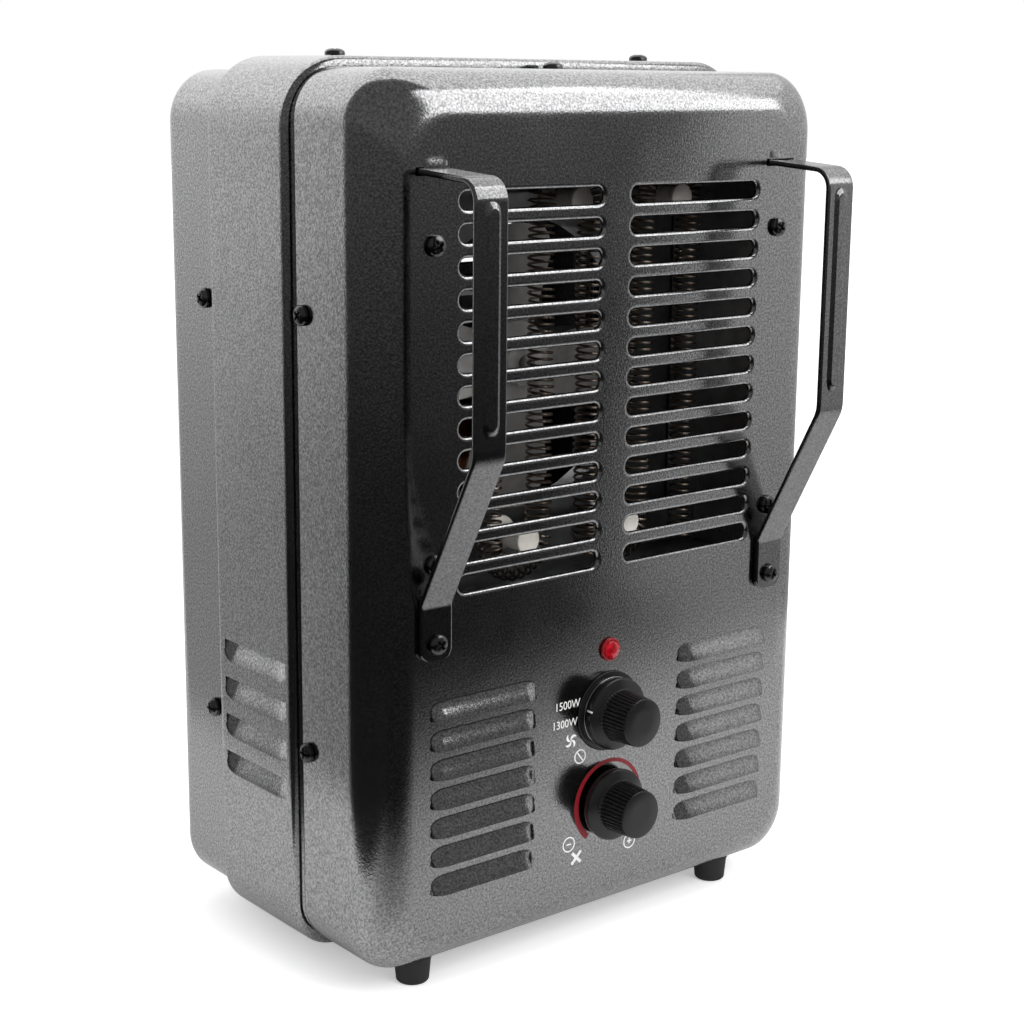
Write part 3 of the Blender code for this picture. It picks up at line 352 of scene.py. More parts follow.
class Effects:
    """Shader node groups that several finishes share, each made once."""

    @staticmethod
    def blank(name: str, inputs: Iterable[tuple[str, str, float]],
              outputs: Iterable[tuple[str, str]]) -> tuple[bpy.types.ShaderNodeTree, Desk, dict, bpy.types.Node]:
        """Make an empty group with its sockets.

        Args:
            name: the group's name.
            inputs: (name, socket type, default) of each input.
            outputs: (name, socket type) of each output.

        Returns:
            The tree, its desk, its inputs' sockets by name, and its output node.
        """
        tree = bpy.data.node_groups.new(name, "ShaderNodeTree")
        for word, kind, default in inputs:
            socket = tree.interface.new_socket(name=word, in_out="INPUT", socket_type=kind)
            if kind == FLOAT:
                socket.default_value = default
        for word, kind in outputs:
            tree.interface.new_socket(name=word, in_out="OUTPUT", socket_type=kind)
        source = tree.nodes.new("NodeGroupInput")
        target = tree.nodes.new("NodeGroupOutput")
        return tree, Desk(tree), {s.name: s for s in source.outputs if s.name}, target

    @staticmethod
    @functools.cache
    def hammered() -> bpy.types.ShaderNodeTree:
        """Pebbled skin: rounded cells of uneven size, with a fleck mask on their crowns."""
        tree, desk, given, target = Effects.blank(
            "hammered", [("Vector", VECTOR, 0), ("Scale", FLOAT, 800), ("Fleck", FLOAT, 0.5)],
            [("Height", FLOAT), ("Fleck", FLOAT)])
        coarse = desk.node("ShaderNodeTexNoise", {"Vector": given["Vector"], "Scale": given["Scale"],
                                                  "Detail": 1.5, "Roughness": 0.6})
        cells = desk.node("ShaderNodeTexVoronoi", {"Vector": given["Vector"], "Scale": given["Scale"]})
        crown = desk.ramp(cells.outputs["Distance"], 0.1, 0.8, 1.0, 0.0, "SMOOTHSTEP")
        height = desk.maths("ADD", desk.maths("MULTIPLY", crown, 0.35), coarse.outputs[0])
        fleck = desk.ramp(coarse.outputs[0], 0.32, 0.68, 0.0, 1.0)
        tree.links.new(height, target.inputs["Height"])
        tree.links.new(desk.maths("MULTIPLY", fleck, given["Fleck"]), target.inputs["Fleck"])
        return tree

    @staticmethod
    @functools.cache
    def mottle() -> bpy.types.ShaderNodeTree:
        """Slow variation between two values, as in a coat of uneven thickness."""
        tree, desk, given, target = Effects.blank(
            "mottle", [("Vector", VECTOR, 0), ("Scale", FLOAT, 30), ("Low", FLOAT, 0.3),
                       ("High", FLOAT, 0.4)], [("Value", FLOAT)])
        noise = desk.node("ShaderNodeTexNoise", {"Vector": given["Vector"], "Scale": given["Scale"],
                                                 "Detail": 3.0, "Roughness": 0.55})
        reach = desk.maths("SUBTRACT", given["High"], given["Low"])
        share = desk.ramp(noise.outputs[0], 0.3, 0.7, 0.0, 1.0)
        value = desk.maths("ADD", given["Low"], desk.maths("MULTIPLY", share, reach))
        tree.links.new(value, target.inputs["Value"])
        return tree

    @staticmethod
    @functools.cache
    def brushed() -> bpy.types.ShaderNodeTree:
        """Fine lines along one direction, from noise stretched along it."""
        tree, desk, given, target = Effects.blank(
            "brushed", [("Vector", VECTOR, 0), ("Scale", FLOAT, 300)], [("Height", FLOAT)])
        stretched = desk.node("ShaderNodeMapping", {"Vector": given["Vector"], "Scale": (0.05, 1.0, 1.0)})
        noise = desk.node("ShaderNodeTexNoise", {"Vector": stretched.outputs[0], "Scale": given["Scale"],
                                                 "Detail": 4.0, "Roughness": 0.7})
        tree.links.new(noise.outputs[0], target.inputs["Height"])
        return tree


@dataclass(frozen=True)
class Finish:
    """What every finish shares: a name, a colour and how it is dressed on a piece."""

    name: str
    colour: Colour

    def dress(self, desk: Desk, shader: bpy.types.Node, coords: bpy.types.NodeSocket) -> None:
        """Join the finish's own nodes to the shader."""
        raise NotImplementedError

    def material(self) -> bpy.types.Material:
        """The material, made the first time that it is asked for."""
        found = bpy.data.materials.get("look_" + self.name)
        if found is not None:
            return found
        material, shader = fresh_material("look_" + self.name)
        shader.inputs["Base Color"].default_value = (*self.colour, 1.0)
        desk = Desk(material.node_tree)
        coords = desk.node("ShaderNodeTexCoord").outputs["Object"]
        self.dress(desk, shader, coords)
        material.diffuse_color = (*self.colour, 1.0)
        return material

    def group(self, desk: Desk, tree: bpy.types.ShaderNodeTree, sockets: dict) -> bpy.types.Node:
        """Place a shared group with this finish's values."""
        return desk.node("ShaderNodeGroup", sockets, node_tree=tree)

    def tint(self, desk: Desk, shader: bpy.types.Node, share: Feed, other: Colour) -> None:
        """Mix the colour with another by a share."""
        mix = desk.node("ShaderNodeMix", data_type="RGBA")
        mix.inputs["A"].default_value = (*self.colour, 1.0)
        mix.inputs["B"].default_value = (*other, 1.0)
        desk.tree.links.new(share, mix.inputs["Factor"])
        desk.tree.links.new(mix.outputs["Result"], shader.inputs["Base Color"])

    def bump(self, desk: Desk, shader: bpy.types.Node, height: Feed, depth: float,
             strength: float = 1.0) -> None:
        """Feed a height to the shader's normal, with its depth in millimetres."""
        sockets = {"Height": height, "Distance": depth * MM, "Strength": strength}
        made = desk.node("ShaderNodeBump", sockets)
        desk.tree.links.new(made.outputs["Normal"], shader.inputs["Normal"])


@dataclass(frozen=True)
class Enamel(Finish):
    """Pebbled metallic enamel on sheet steel."""

    name: str = "enamel"
    colour: Colour = (0.20, 0.20, 0.203)
    fleck: Colour = (0.48, 0.48, 0.485)
    grain: float = 1250.0
    depth: float = 0.019
    low: float = 0.125
    high: float = 0.175
    metallic: float = 1.0

    def dress(self, desk: Desk, shader: bpy.types.Node, coords: bpy.types.NodeSocket) -> None:
        """Cells give the bump and the flecks; slow mottle varies the gloss."""
        skin = self.group(desk, Effects.hammered(), {"Vector": coords, "Scale": self.grain, "Fleck": 1.0})
        gloss = self.group(desk, Effects.mottle(), {"Vector": coords, "Scale": 35.0, "Low": self.low,
                                                    "High": self.high})
        self.tint(desk, shader, skin.outputs["Fleck"], self.fleck)
        self.bump(desk, shader, skin.outputs["Height"], self.depth)
        desk.tree.links.new(gloss.outputs["Value"], shader.inputs["Roughness"])
        shader.inputs["Metallic"].default_value = self.metallic


@dataclass(frozen=True)
class Moulding(Finish):
    """Moulded plastic or rubber with a fine spark-eroded skin."""

    name: str = "black_moulding"
    colour: Colour = (0.012, 0.012, 0.013)
    low: float = 0.32
    high: float = 0.42
    depth: float = 0.01
    grain: float = 2500.0

    def dress(self, desk: Desk, shader: bpy.types.Node, coords: bpy.types.NodeSocket) -> None:
        """A fine skin for the bump and mottle for the gloss."""
        skin = self.group(desk, Effects.hammered(), {"Vector": coords, "Scale": self.grain, "Fleck": 0.15})
        gloss = self.group(desk, Effects.mottle(), {"Vector": coords, "Scale": 90.0, "Low": self.low,
                                                    "High": self.high})
        paler = tuple(min(c * 1.8 + 0.004, 1.0) for c in self.colour)
        self.tint(desk, shader, skin.outputs["Fleck"], paler)
        self.bump(desk, shader, skin.outputs["Height"], self.depth)
        desk.tree.links.new(gloss.outputs["Value"], shader.inputs["Roughness"])


@dataclass(frozen=True)
class BareMetal(Finish):
    """Rolled or plated metal with fine lines and uneven gloss."""

    name: str = "zinc_plate"
    colour: Colour = (0.55, 0.56, 0.57)
    stain: Colour = (0.32, 0.32, 0.33)
    low: float = 0.25
    high: float = 0.45
    lines: float = 900.0
    depth: float = 0.008
    metallic: float = 1.0

    def dress(self, desk: Desk, shader: bpy.types.Node, coords: bpy.types.NodeSocket) -> None:
        """Lines for the bump, and one mottle for stain and gloss."""
        marks = self.group(desk, Effects.brushed(), {"Vector": coords, "Scale": self.lines})
        cloud = self.group(desk, Effects.mottle(), {"Vector": coords, "Scale": 60.0, "Low": 0.0, "High": 1.0})
        self.tint(desk, shader, cloud.outputs["Value"], self.stain)
        gloss = desk.ramp(cloud.outputs["Value"], 0.0, 1.0, self.low, self.high)
        desk.tree.links.new(gloss, shader.inputs["Roughness"])
        self.bump(desk, shader, marks.outputs["Height"], self.depth)
        shader.inputs["Metallic"].default_value = self.metallic


@dataclass(frozen=True)
class Ceramic(Finish):
    """Unglazed white ceramic with faint scorching."""

    name: str = "steatite"
    colour: Colour = (0.80, 0.78, 0.73)
    scorch: Colour = (0.52, 0.46, 0.38)

    def dress(self, desk: Desk, shader: bpy.types.Node, coords: bpy.types.NodeSocket) -> None:
        """Fine pores for the bump and patches of scorch."""
        skin = self.group(desk, Effects.hammered(), {"Vector": coords, "Scale": 1800.0, "Fleck": 0.2})
        cloud = self.group(desk, Effects.mottle(), {"Vector": coords, "Scale": 110.0, "Low": 0.0, "High": 0.5})
        self.tint(desk, shader, cloud.outputs["Value"], self.scorch)
        self.bump(desk, shader, skin.outputs["Height"], 0.02)
        shader.inputs["Roughness"].default_value = 0.55


@dataclass(frozen=True)
class RedGlass(Finish):
    """Clear coloured plastic, cut in facets."""

    name: str = "red_jewel"
    colour: Colour = (0.36, 0.002, 0.008)

    def dress(self, desk: Desk, shader: bpy.types.Node, coords: bpy.types.NodeSocket) -> None:
        """Clouds in the colour, and a clear gloss."""
        cloud = self.group(desk, Effects.mottle(), {"Vector": coords, "Scale": 420.0, "Low": 0.0, "High": 1.0})
        self.tint(desk, shader, cloud.outputs["Value"], (0.12, 0.0, 0.003))
        shader.inputs["Roughness"].default_value = 0.08
        shader.inputs["Coat Weight"].default_value = 0.6
        shader.inputs["Coat Roughness"].default_value = 0.03


@dataclass(frozen=True)
class Ink(Finish):
    """Screen-printed ink, a little uneven where it crosses the pebbled skin."""

    name: str = "white_ink"
    colour: Colour = (0.62, 0.62, 0.61)
    worn: Colour = (0.46, 0.46, 0.45)

    def dress(self, desk: Desk, shader: bpy.types.Node, coords: bpy.types.NodeSocket) -> None:
        """Grain in the colour and the bump."""
        skin = self.group(desk, Effects.hammered(), {"Vector": coords, "Scale": 900.0, "Fleck": 0.5})
        self.tint(desk, shader, skin.outputs["Fleck"], self.worn)
        self.bump(desk, shader, skin.outputs["Height"], 0.02)
        shader.inputs["Roughness"].default_value = 0.5


ENAMEL = Enamel()
STRAP_ENAMEL = Enamel("strap_enamel", (0.15, 0.15, 0.152), (0.30, 0.30, 0.303), 1400.0, 0.012)
BLACK = Moulding()
RUBBER = Moulding("rubber", (0.010, 0.010, 0.010), 0.55, 0.7, 0.02, 1500.0)
PHENOLIC = Moulding("phenolic", (0.035, 0.028, 0.022), 0.4, 0.55, 0.02, 1500.0)
SCREW_STEEL = BareMetal("black_oxide", (0.16, 0.16, 0.165), (0.06, 0.06, 0.062), 0.14, 0.24, 1500.0, 0.004)
ZINC = BareMetal()
ALUMINIUM = BareMetal("aluminium", (0.82, 0.80, 0.77), (0.45, 0.44, 0.42), 0.30, 0.45, 700.0, 0.006, 0.80)
CHROME = BareMetal("bezel", (0.50, 0.50, 0.50), (0.36, 0.36, 0.36), 0.12, 0.2, 900.0, 0.002)
KNOB_BLACK = Moulding("knob_moulding", (0.006, 0.006, 0.006), 0.20, 0.26, 0.003, 2500.0)
LENS_RIM = Moulding("lens_rim", (0.16, 0.008, 0.010), 0.06, 0.12, 0.002, 800.0)
WIRE = BareMetal("resistance_wire", (0.34, 0.29, 0.24), (0.16, 0.12, 0.10), 0.25, 0.4, 1200.0, 0.006)
LAMINATION = BareMetal("lamination", (0.22, 0.22, 0.24), (0.12, 0.10, 0.09), 0.4, 0.6, 2500.0, 0.03)
COPPER = BareMetal("winding", (0.60, 0.20, 0.07), (0.32, 0.10, 0.03), 0.25, 0.4, 2200.0, 0.05)
STEATITE = Ceramic()
# Painted shade: a darker copy of the white steatite for the upper spools, which sit in shade. They are the same white
# ceramic as the lower ones.
SHADED_STEATITE = Ceramic("shaded_steatite", (0.20, 0.185, 0.17), (0.10, 0.085, 0.07))
JEWEL = RedGlass()
LAMP_GLASS = Moulding("lamp_glass", (0.70, 0.30, 0.18), 0.05, 0.12, 0.002, 800.0)
WHITE_INK = Ink()
RED_INK = Ink("red_ink", (0.20, 0.004, 0.010), (0.11, 0.004, 0.007))


def wear(item: bpy.types.Object, finish: Finish, body: str, nodes: Sequence[str] = ()) -> None:
    """Give a new piece its finish, its body and the nodes that it stands for."""
    item.data.materials.clear()
    item.data.materials.append(finish.material())
    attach(item, body)
    if nodes:
        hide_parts(*nodes)
    LOG.info("piece %s rides on %s, %d faces", item.name, body, len(item.data.polygons))


# ---- pressed sheet -------------------------------------------------------------------
@dataclass(frozen=True)
class Outline:
    """A rectangle with round corners, seen from the front."""

    half: float
    bottom: float
    top: float
    upper: float
    lower: float

    def grown(self, amount: float) -> "Outline":
        """The outline moved out by an amount, with its corners on the same centres."""
        return Outline(self.half + amount, self.bottom - amount, self.top + amount,
                       self.upper + amount, self.lower + amount)

    def drawn_in(self, amount: float) -> "Outline":
        """The outline with its sides moved in and its corner radii kept."""
        return Outline(self.half - amount, self.bottom + amount, self.top - amount, self.upper, self.lower)

    def ring(self, depth: float, steps: int = 14) -> Array:
        """Points round the outline, counter-clockwise from the bottom right corner.

        Each corner is an arc of 90 degrees, and a straight side has a point EASE away from each of its ends.

        Args:
            depth: the ring's depth.
            steps: facets in each corner.

        Returns:
            (n, 3) points; the long run of the right side starts at number steps + 2.
        """
        turn = np.linspace(0.0, math.pi / 2, steps + 1)
        corners = ((1, self.bottom + self.lower, self.lower, -90), (1, self.top - self.upper, self.upper, 0),
                   (-1, self.top - self.upper, self.upper, 90), (-1, self.bottom + self.lower, self.lower, 180))
        parts = []
        for side, middle_z, radius, start in corners:
            angle = turn + math.radians(start)
            x = side * (self.half - radius) + radius * np.cos(angle)
            z = middle_z + radius * np.sin(angle)
            arc = np.stack([x, np.full_like(x, depth), z], axis=-1)
            into = np.array([-math.sin(angle[0]), 0.0, math.cos(angle[0])]) * EASE
            out = np.array([-math.sin(angle[-1]), 0.0, math.cos(angle[-1])]) * EASE
            parts += [arc[:1] - into, arc, arc[-1:] + out]
        return np.concatenate(parts)


@dataclass(frozen=True)
class Pan:
    """A pressed pan: straight walls, a rolled edge and a flat face."""

    outline: Outline
    rim: float
    face: float
    edge: float

    def rows(self) -> Array:
        """Rings from the rim to a strip of the flat: the edge is a quarter circle in inset and depth."""
        sign = 1.0 if self.rim > self.face else -1.0
        turn = np.linspace(0.0, math.pi / 2, 15)
        rings = [self.outline.ring(self.rim), self.outline.ring(self.face + sign * (self.edge + EASE))]
        for inset, rise in zip(self.edge * (1 - np.cos(turn)), self.edge * (1 - np.sin(turn))):
            rings.append(self.outline.drawn_in(inset).ring(self.face + sign * rise))
        rings.append(self.outline.drawn_in(self.edge + EASE).ring(self.face))
        return np.stack(rings)


@dataclass(frozen=True)
class RolledSlot:
    """A slot with round ends whose edge is rolled inwards."""

    start: float
    end: float
    z: float
    height: float
    roll: float
    ease: float = 0.35

    def ring(self, inset: float, steps: int = 9) -> Array:
        """The slot's outline moved in: two half circles, as (x, z) points."""
        radius = self.height / 2 - inset
        turn = np.linspace(-math.pi / 2, math.pi / 2, steps + 1)
        right = np.stack([self.end - self.height / 2 + radius * np.cos(turn), self.z + radius * np.sin(turn)], -1)
        left = np.stack([self.start + self.height / 2 - radius * np.cos(turn), self.z - radius * np.sin(turn)], -1)
        return np.concatenate([right, left])

    def lip(self, face: float, inward: float) -> Array:
        """The rolled edge: inset is roll sin t and depth is roll (1 - cos t), after a flat strip."""
        turn = np.radians(np.linspace(0.0, 150.0, 9))
        steps = [(-self.ease, 0.0)] + list(zip(self.roll * np.sin(turn), self.roll * (1 - np.cos(turn))))
        rows = []
        for inset, depth in steps:
            ring = self.ring(inset)
            rows.append(np.stack([ring[:, 0], np.full(len(ring), face + inward * depth), ring[:, 1]], -1))
        return np.stack(rows)


@dataclass(frozen=True)
class Louvre:
    """A pressed louvre with domed ends: closed along one long edge and slit along the other.

    Across is the long direction. Up runs from the closed edge to the slit, and out is away from the sheet.
    """

    start: float
    end: float
    shut: float
    slit: float
    reach: float
    dome: float = 6.0
    corner: float = 2.5

    def grid(self, rows: int = 12) -> Array:
        """Points of the louvre, v being the share of the way to the slit.

        Out is reach times g times (v + s) / 2, where s eases v and g is a quarter ellipse over each domed end.
        """
        bend = np.linspace(0, math.pi / 2, 9)
        near = self.dome * (1 - np.cos(bend))
        middle = np.linspace(self.start + self.dome, self.end - self.dome, 6)[1:-1]
        across = np.concatenate([self.start + near, middle, (self.end - near)[::-1]])
        inward = np.clip(np.minimum(across - self.start, self.end - across) / self.dome, 0, 1)
        g = np.sqrt(1 - (1 - inward) ** 2)
        v = np.linspace(0, 1, rows)[:, None]
        way = 1.0 if self.slit > self.shut else -1.0
        first = self.shut + way * self.corner * (1 - g)
        up = first + (self.slit - first) * v
        out = self.reach * g * (v + smooth(v)) / 2
        return np.stack([np.broadcast_to(across, up.shape), up, out], axis=-1)

    def loops(self) -> tuple[Array, Array]:
        """The louvre's own edge and the same edge grown by a strip, as (across, up) points."""
        grid = self.grid()[..., :2]
        edge = np.concatenate([grid[::-1, 0], grid[0, 1:], grid[1:, -1]])
        middle = (edge.max(0) + edge.min(0)) / 2
        size = (edge.max(0) - edge.min(0)) / 2
        return edge, middle + (edge - middle) * (size + 0.5) / size


@dataclass
class PressedSheet:
    """A pan or a wall with its slots, louvres and holes, gathered into one plan."""

    plan: MeshPlan = field(default_factory=MeshPlan)
    loops: list[Array] = field(default_factory=list)

    def slot(self, slot: RolledSlot, face: float, inward: float) -> None:
        """Add a slot's lip and open the flat round it."""
        lip = slot.lip(face, inward)
        self.plan.grid(lip, wrap_columns=True)
        self.loops.append(lip[0][:, [0, 2]])

    def louvre(self, louvre: Louvre, place: Callable[[Array], Array]) -> None:
        """Add a louvre and the strip of flat round it.

        Args:
            louvre: the louvre.
            place: turns (..., across up out) points into (..., x depth z) points.
        """
        edge, grown = louvre.loops()
        self.plan.grid(place(louvre.grid()))
        strip = np.stack([edge, grown])
        flat = np.concatenate([strip, np.zeros(strip.shape[:2] + (1,))], axis=-1)
        self.plan.grid(place(flat), wrap_columns=True)
        self.loops.append(grown)

    def hole(self, x: float, z: float, radius: float, steps: int = 20) -> None:
        """Open a round hole in the flat."""
        angle = np.arange(steps) * 2 * math.pi / steps
        self.loops.append(np.stack([x + radius * np.cos(angle), z + radius * np.sin(angle)], -1))

    def window(self, low: tuple[float, float], high: tuple[float, float]) -> None:
        """Open a rectangle in the flat."""
        self.loops.append(np.array([low, (high[0], low[1]), high, (low[0], high[1])], float))


@dataclass
class FrontShell:
    """The front pan: grille, lower louvres, tab slots and control holes."""

    outline: Outline = Outline(105.2, 11.2, 324.1, 17.5, 16.5)
    edge: float = 15.5
    slot_rows: int = 13
    slot_top: float = 281.3
    slot_pitch: float = 10.86
    slot_span: tuple[float, float] = (5.2, 71.3)
    slot_height: float = 8.6
    slot_roll: float = 1.4
    louvre_rows: int = 7
    louvre_lip: float = 104.7
    louvre_pitch: float = 10.63
    louvre_height: float = 6.4
    louvre_span: tuple[float, float] = (35.4, 82.1)
    louvre_reach: float = 3.4
    bump_span: tuple[float, float] = (75.8, 84.7)
    bump_z: tuple[float, float] = (296.2, 292.9)
    tab: tuple[float, float, float] = (81.3, 7.2, 1.5)
    tab_z: float = 291.3
    face_screws: tuple[float, float, float] = (80.7, 267.2, 160.1)
    handle_screw: tuple[float, float] = (81.3, 132.9)
    control_holes: tuple[tuple[float, float], ...] = ((92.3, 4.7), (56.9, 4.7), (116.0, 3.7))

    @staticmethod
    def on_face(points: Array) -> Array:
        """Put (across, up, out) points on the front face."""
        return np.stack([points[..., 0], -points[..., 2], points[..., 1]], axis=-1)

    def build(self) -> bpy.types.Object:
        """Press the pan and return it."""
        sheet = PressedSheet()
        rows = Pan(self.outline, FRONT_DEPTH, 0.0, self.edge).rows()
        sheet.plan.grid(rows, wrap_columns=True)
        sheet.loops.append(rows[-1][:, [0, 2]])
        for side in Side:
            self.openings(sheet, side.value)
        for z, radius in self.control_holes:
            sheet.hole(0.0, z, radius)
        sheet.plan.patch(sheet.loops, upright(0.0))
        item = sheet.plan.piece("front_shell_pressing", wall=SHEET)
        wear(item, ENAMEL, "root", ["front_shell"])
        return item

    def openings(self, sheet: PressedSheet, side: int) -> None:
        """Add one half's slots, louvres, bump, tab slot and screw holes."""
        x0, x1 = sorted(side * x for x in self.slot_span)
        for row in range(self.slot_rows):
            z = self.slot_top - row * self.slot_pitch
            sheet.slot(RolledSlot(x0, x1, z, self.slot_height, self.slot_roll), 0.0, 1.0)
        x0, x1 = sorted(side * x for x in self.louvre_span)
        for row in range(self.louvre_rows):
            lip = self.louvre_lip - row * self.louvre_pitch
            sheet.louvre(Louvre(x0, x1, lip + self.louvre_height, lip, self.louvre_reach), self.on_face)
        x0, x1 = sorted(side * x for x in self.bump_span)
        sheet.louvre(Louvre(x0, x1, self.bump_z[0], self.bump_z[1], 0.3, 3.0, 1.2), self.on_face)
        x, half, rise = self.tab
        sheet.window((side * x - half, self.tab_z - rise), (side * x + half, self.tab_z + rise - 0.2))
        for z in self.face_screws[1:]:
            sheet.hole(side * self.face_screws[0], z, 1.8, 12)
        sheet.hole(side * self.handle_screw[0], self.handle_screw[1], 1.8, 12)


@dataclass
class MidShell:
    """The band between the pans, which stands proud of both and has louvres in its sides."""

    outline: Outline = Outline(107.4, 7.4, 327.8, 23.5, 19.0)
    front: Outline = Outline(105.2, 11.2, 324.1, 17.5, 16.5)
    rear: Outline = Outline(104.8, 11.4, 323.0, 17.5, 16.5)
    start: float = 47.7
    end: float = 98.5
    rim_reach: float = 11.5
    bend: float = 2.2
    louvre_rows: int = 4
    louvre_top: float = 117.4
    louvre_pitch: float = 14.43
    louvre_height: float = 8.2
    louvre_span: tuple[float, float] = (52.4, 93.4)
    louvre_reach: float = 2.8

    def stations(self) -> list[Array]:
        """Rings along the outside: a rim inside the front pan, a rounded step, the band, and the same behind."""
        gap = SHEET + 0.3
        inner_front = self.front.grown(-gap)
        inner_rear = self.rear.grown(-gap)
        turn = np.linspace(0, math.pi / 2, 7)
        rings = [inner_front.ring(self.start - self.rim_reach), inner_front.ring(self.start - 0.6),
                 inner_front.grown(0.6).ring(self.start)]
        rings += [self.outline.grown(-self.bend * (1 - math.sin(t))).ring(self.start + self.bend * (1 - math.cos(t)))
                  for t in turn]
        rings.append(self.outline.ring(self.start + self.bend + EASE))
        rings.append(self.outline.ring(self.end - self.bend - EASE))
        rings += [self.outline.grown(-self.bend * (1 - math.sin(t))).ring(self.end - self.bend * (1 - math.cos(t)))
                  for t in turn[::-1]]
        rings += [inner_rear.grown(0.6).ring(self.end), inner_rear.ring(self.end + 0.6),
                  inner_rear.ring(self.end + self.rim_reach)]
        return rings

    def build(self) -> bpy.types.Object:
        """Press the band and return it."""
        rings = self.stations()
        plan = MeshPlan()
        grid = np.stack(rings)
        rows, columns = grid.shape[:2]
        keep = np.ones((rows - 1, columns), bool)
        band = 3 + 7  # three rings of the rim and seven of the step come first
        corner = columns // 4
        for run in (corner - 1, 3 * corner - 1):
            keep[band, run] = False
        plan.grid(grid, wrap_columns=True, keep_quad=keep)
        for side in Side:
            run = corner - 1 if side is Side.RIGHT else 3 * corner - 1
            frame_loop = np.array([grid[band, run], grid[band + 1, run], grid[band + 1, run + 1],
                                   grid[band, run + 1]])[:, [1, 2]]
            self.wall(plan, side.value, frame_loop)
        item = plan.piece("mid_shell_pressing", wall=SHEET)
        wear(item, ENAMEL, "root", ["mid_shell"])
        return item

    def wall(self, plan: MeshPlan, side: int, loop: Array) -> None:
        """Fill one flat side wall round its louvres, which are pressed inwards and slit along their tops."""
        sheet = PressedSheet(plan, [loop])

        def on_wall(points: Array) -> Array:
            """Put (across, up, out) points on the side wall."""
            return np.stack([side * (self.outline.half + points[..., 2]), points[..., 0], points[..., 1]], axis=-1)

        for row in range(self.louvre_rows):
            top = self.louvre_top - row * self.louvre_pitch
            span = self.louvre_span
            sheet.louvre(Louvre(span[0], span[1], top - self.louvre_height, top, -self.louvre_reach, 6.0, 3.0), on_wall)
        plan.patch(sheet.loops, lambda flat: np.stack([0 * flat[:, 0] + side * self.outline.half,
                                                       flat[:, 0], flat[:, 1]], -1))


@dataclass
class RearCover:
    """The rear pan with its air inlet and the cord's grommet."""

    outline: Outline = Outline(104.8, 11.4, 323.0, 17.5, 16.5)
    rim: float = 99.3
    edge: float = 9.0
    rows: int = 9
    top: float = 259.4
    pitch: float = 10.86
    span: tuple[float, float] = (5.4, 62.6)
    height: float = 6.4
    roll: float = 0.9
    grommet: tuple[float, float, float] = (62.0, 36.0, 7.5)

    def build(self) -> bpy.types.Object:
        """Press the cover and return it."""
        sheet = PressedSheet()
        rows = Pan(self.outline, self.rim, REAR_END, self.edge).rows()
        sheet.plan.grid(rows, wrap_columns=True)
        sheet.loops.append(rows[-1][:, [0, 2]])
        for side in Side:
            x0, x1 = sorted(side.value * x for x in self.span)
            for row in range(self.rows):
                z = self.top - row * self.pitch
                sheet.slot(RolledSlot(x0, x1, z, self.height, self.roll), REAR_END, -1.0)
        sheet.hole(*self.grommet)
        sheet.plan.patch(sheet.loops, upright(REAR_END))
        item = sheet.plan.piece("rear_cover_pressing", wall=SHEET)
        wear(item, ENAMEL, "root", ["rear_cover"])
        return item


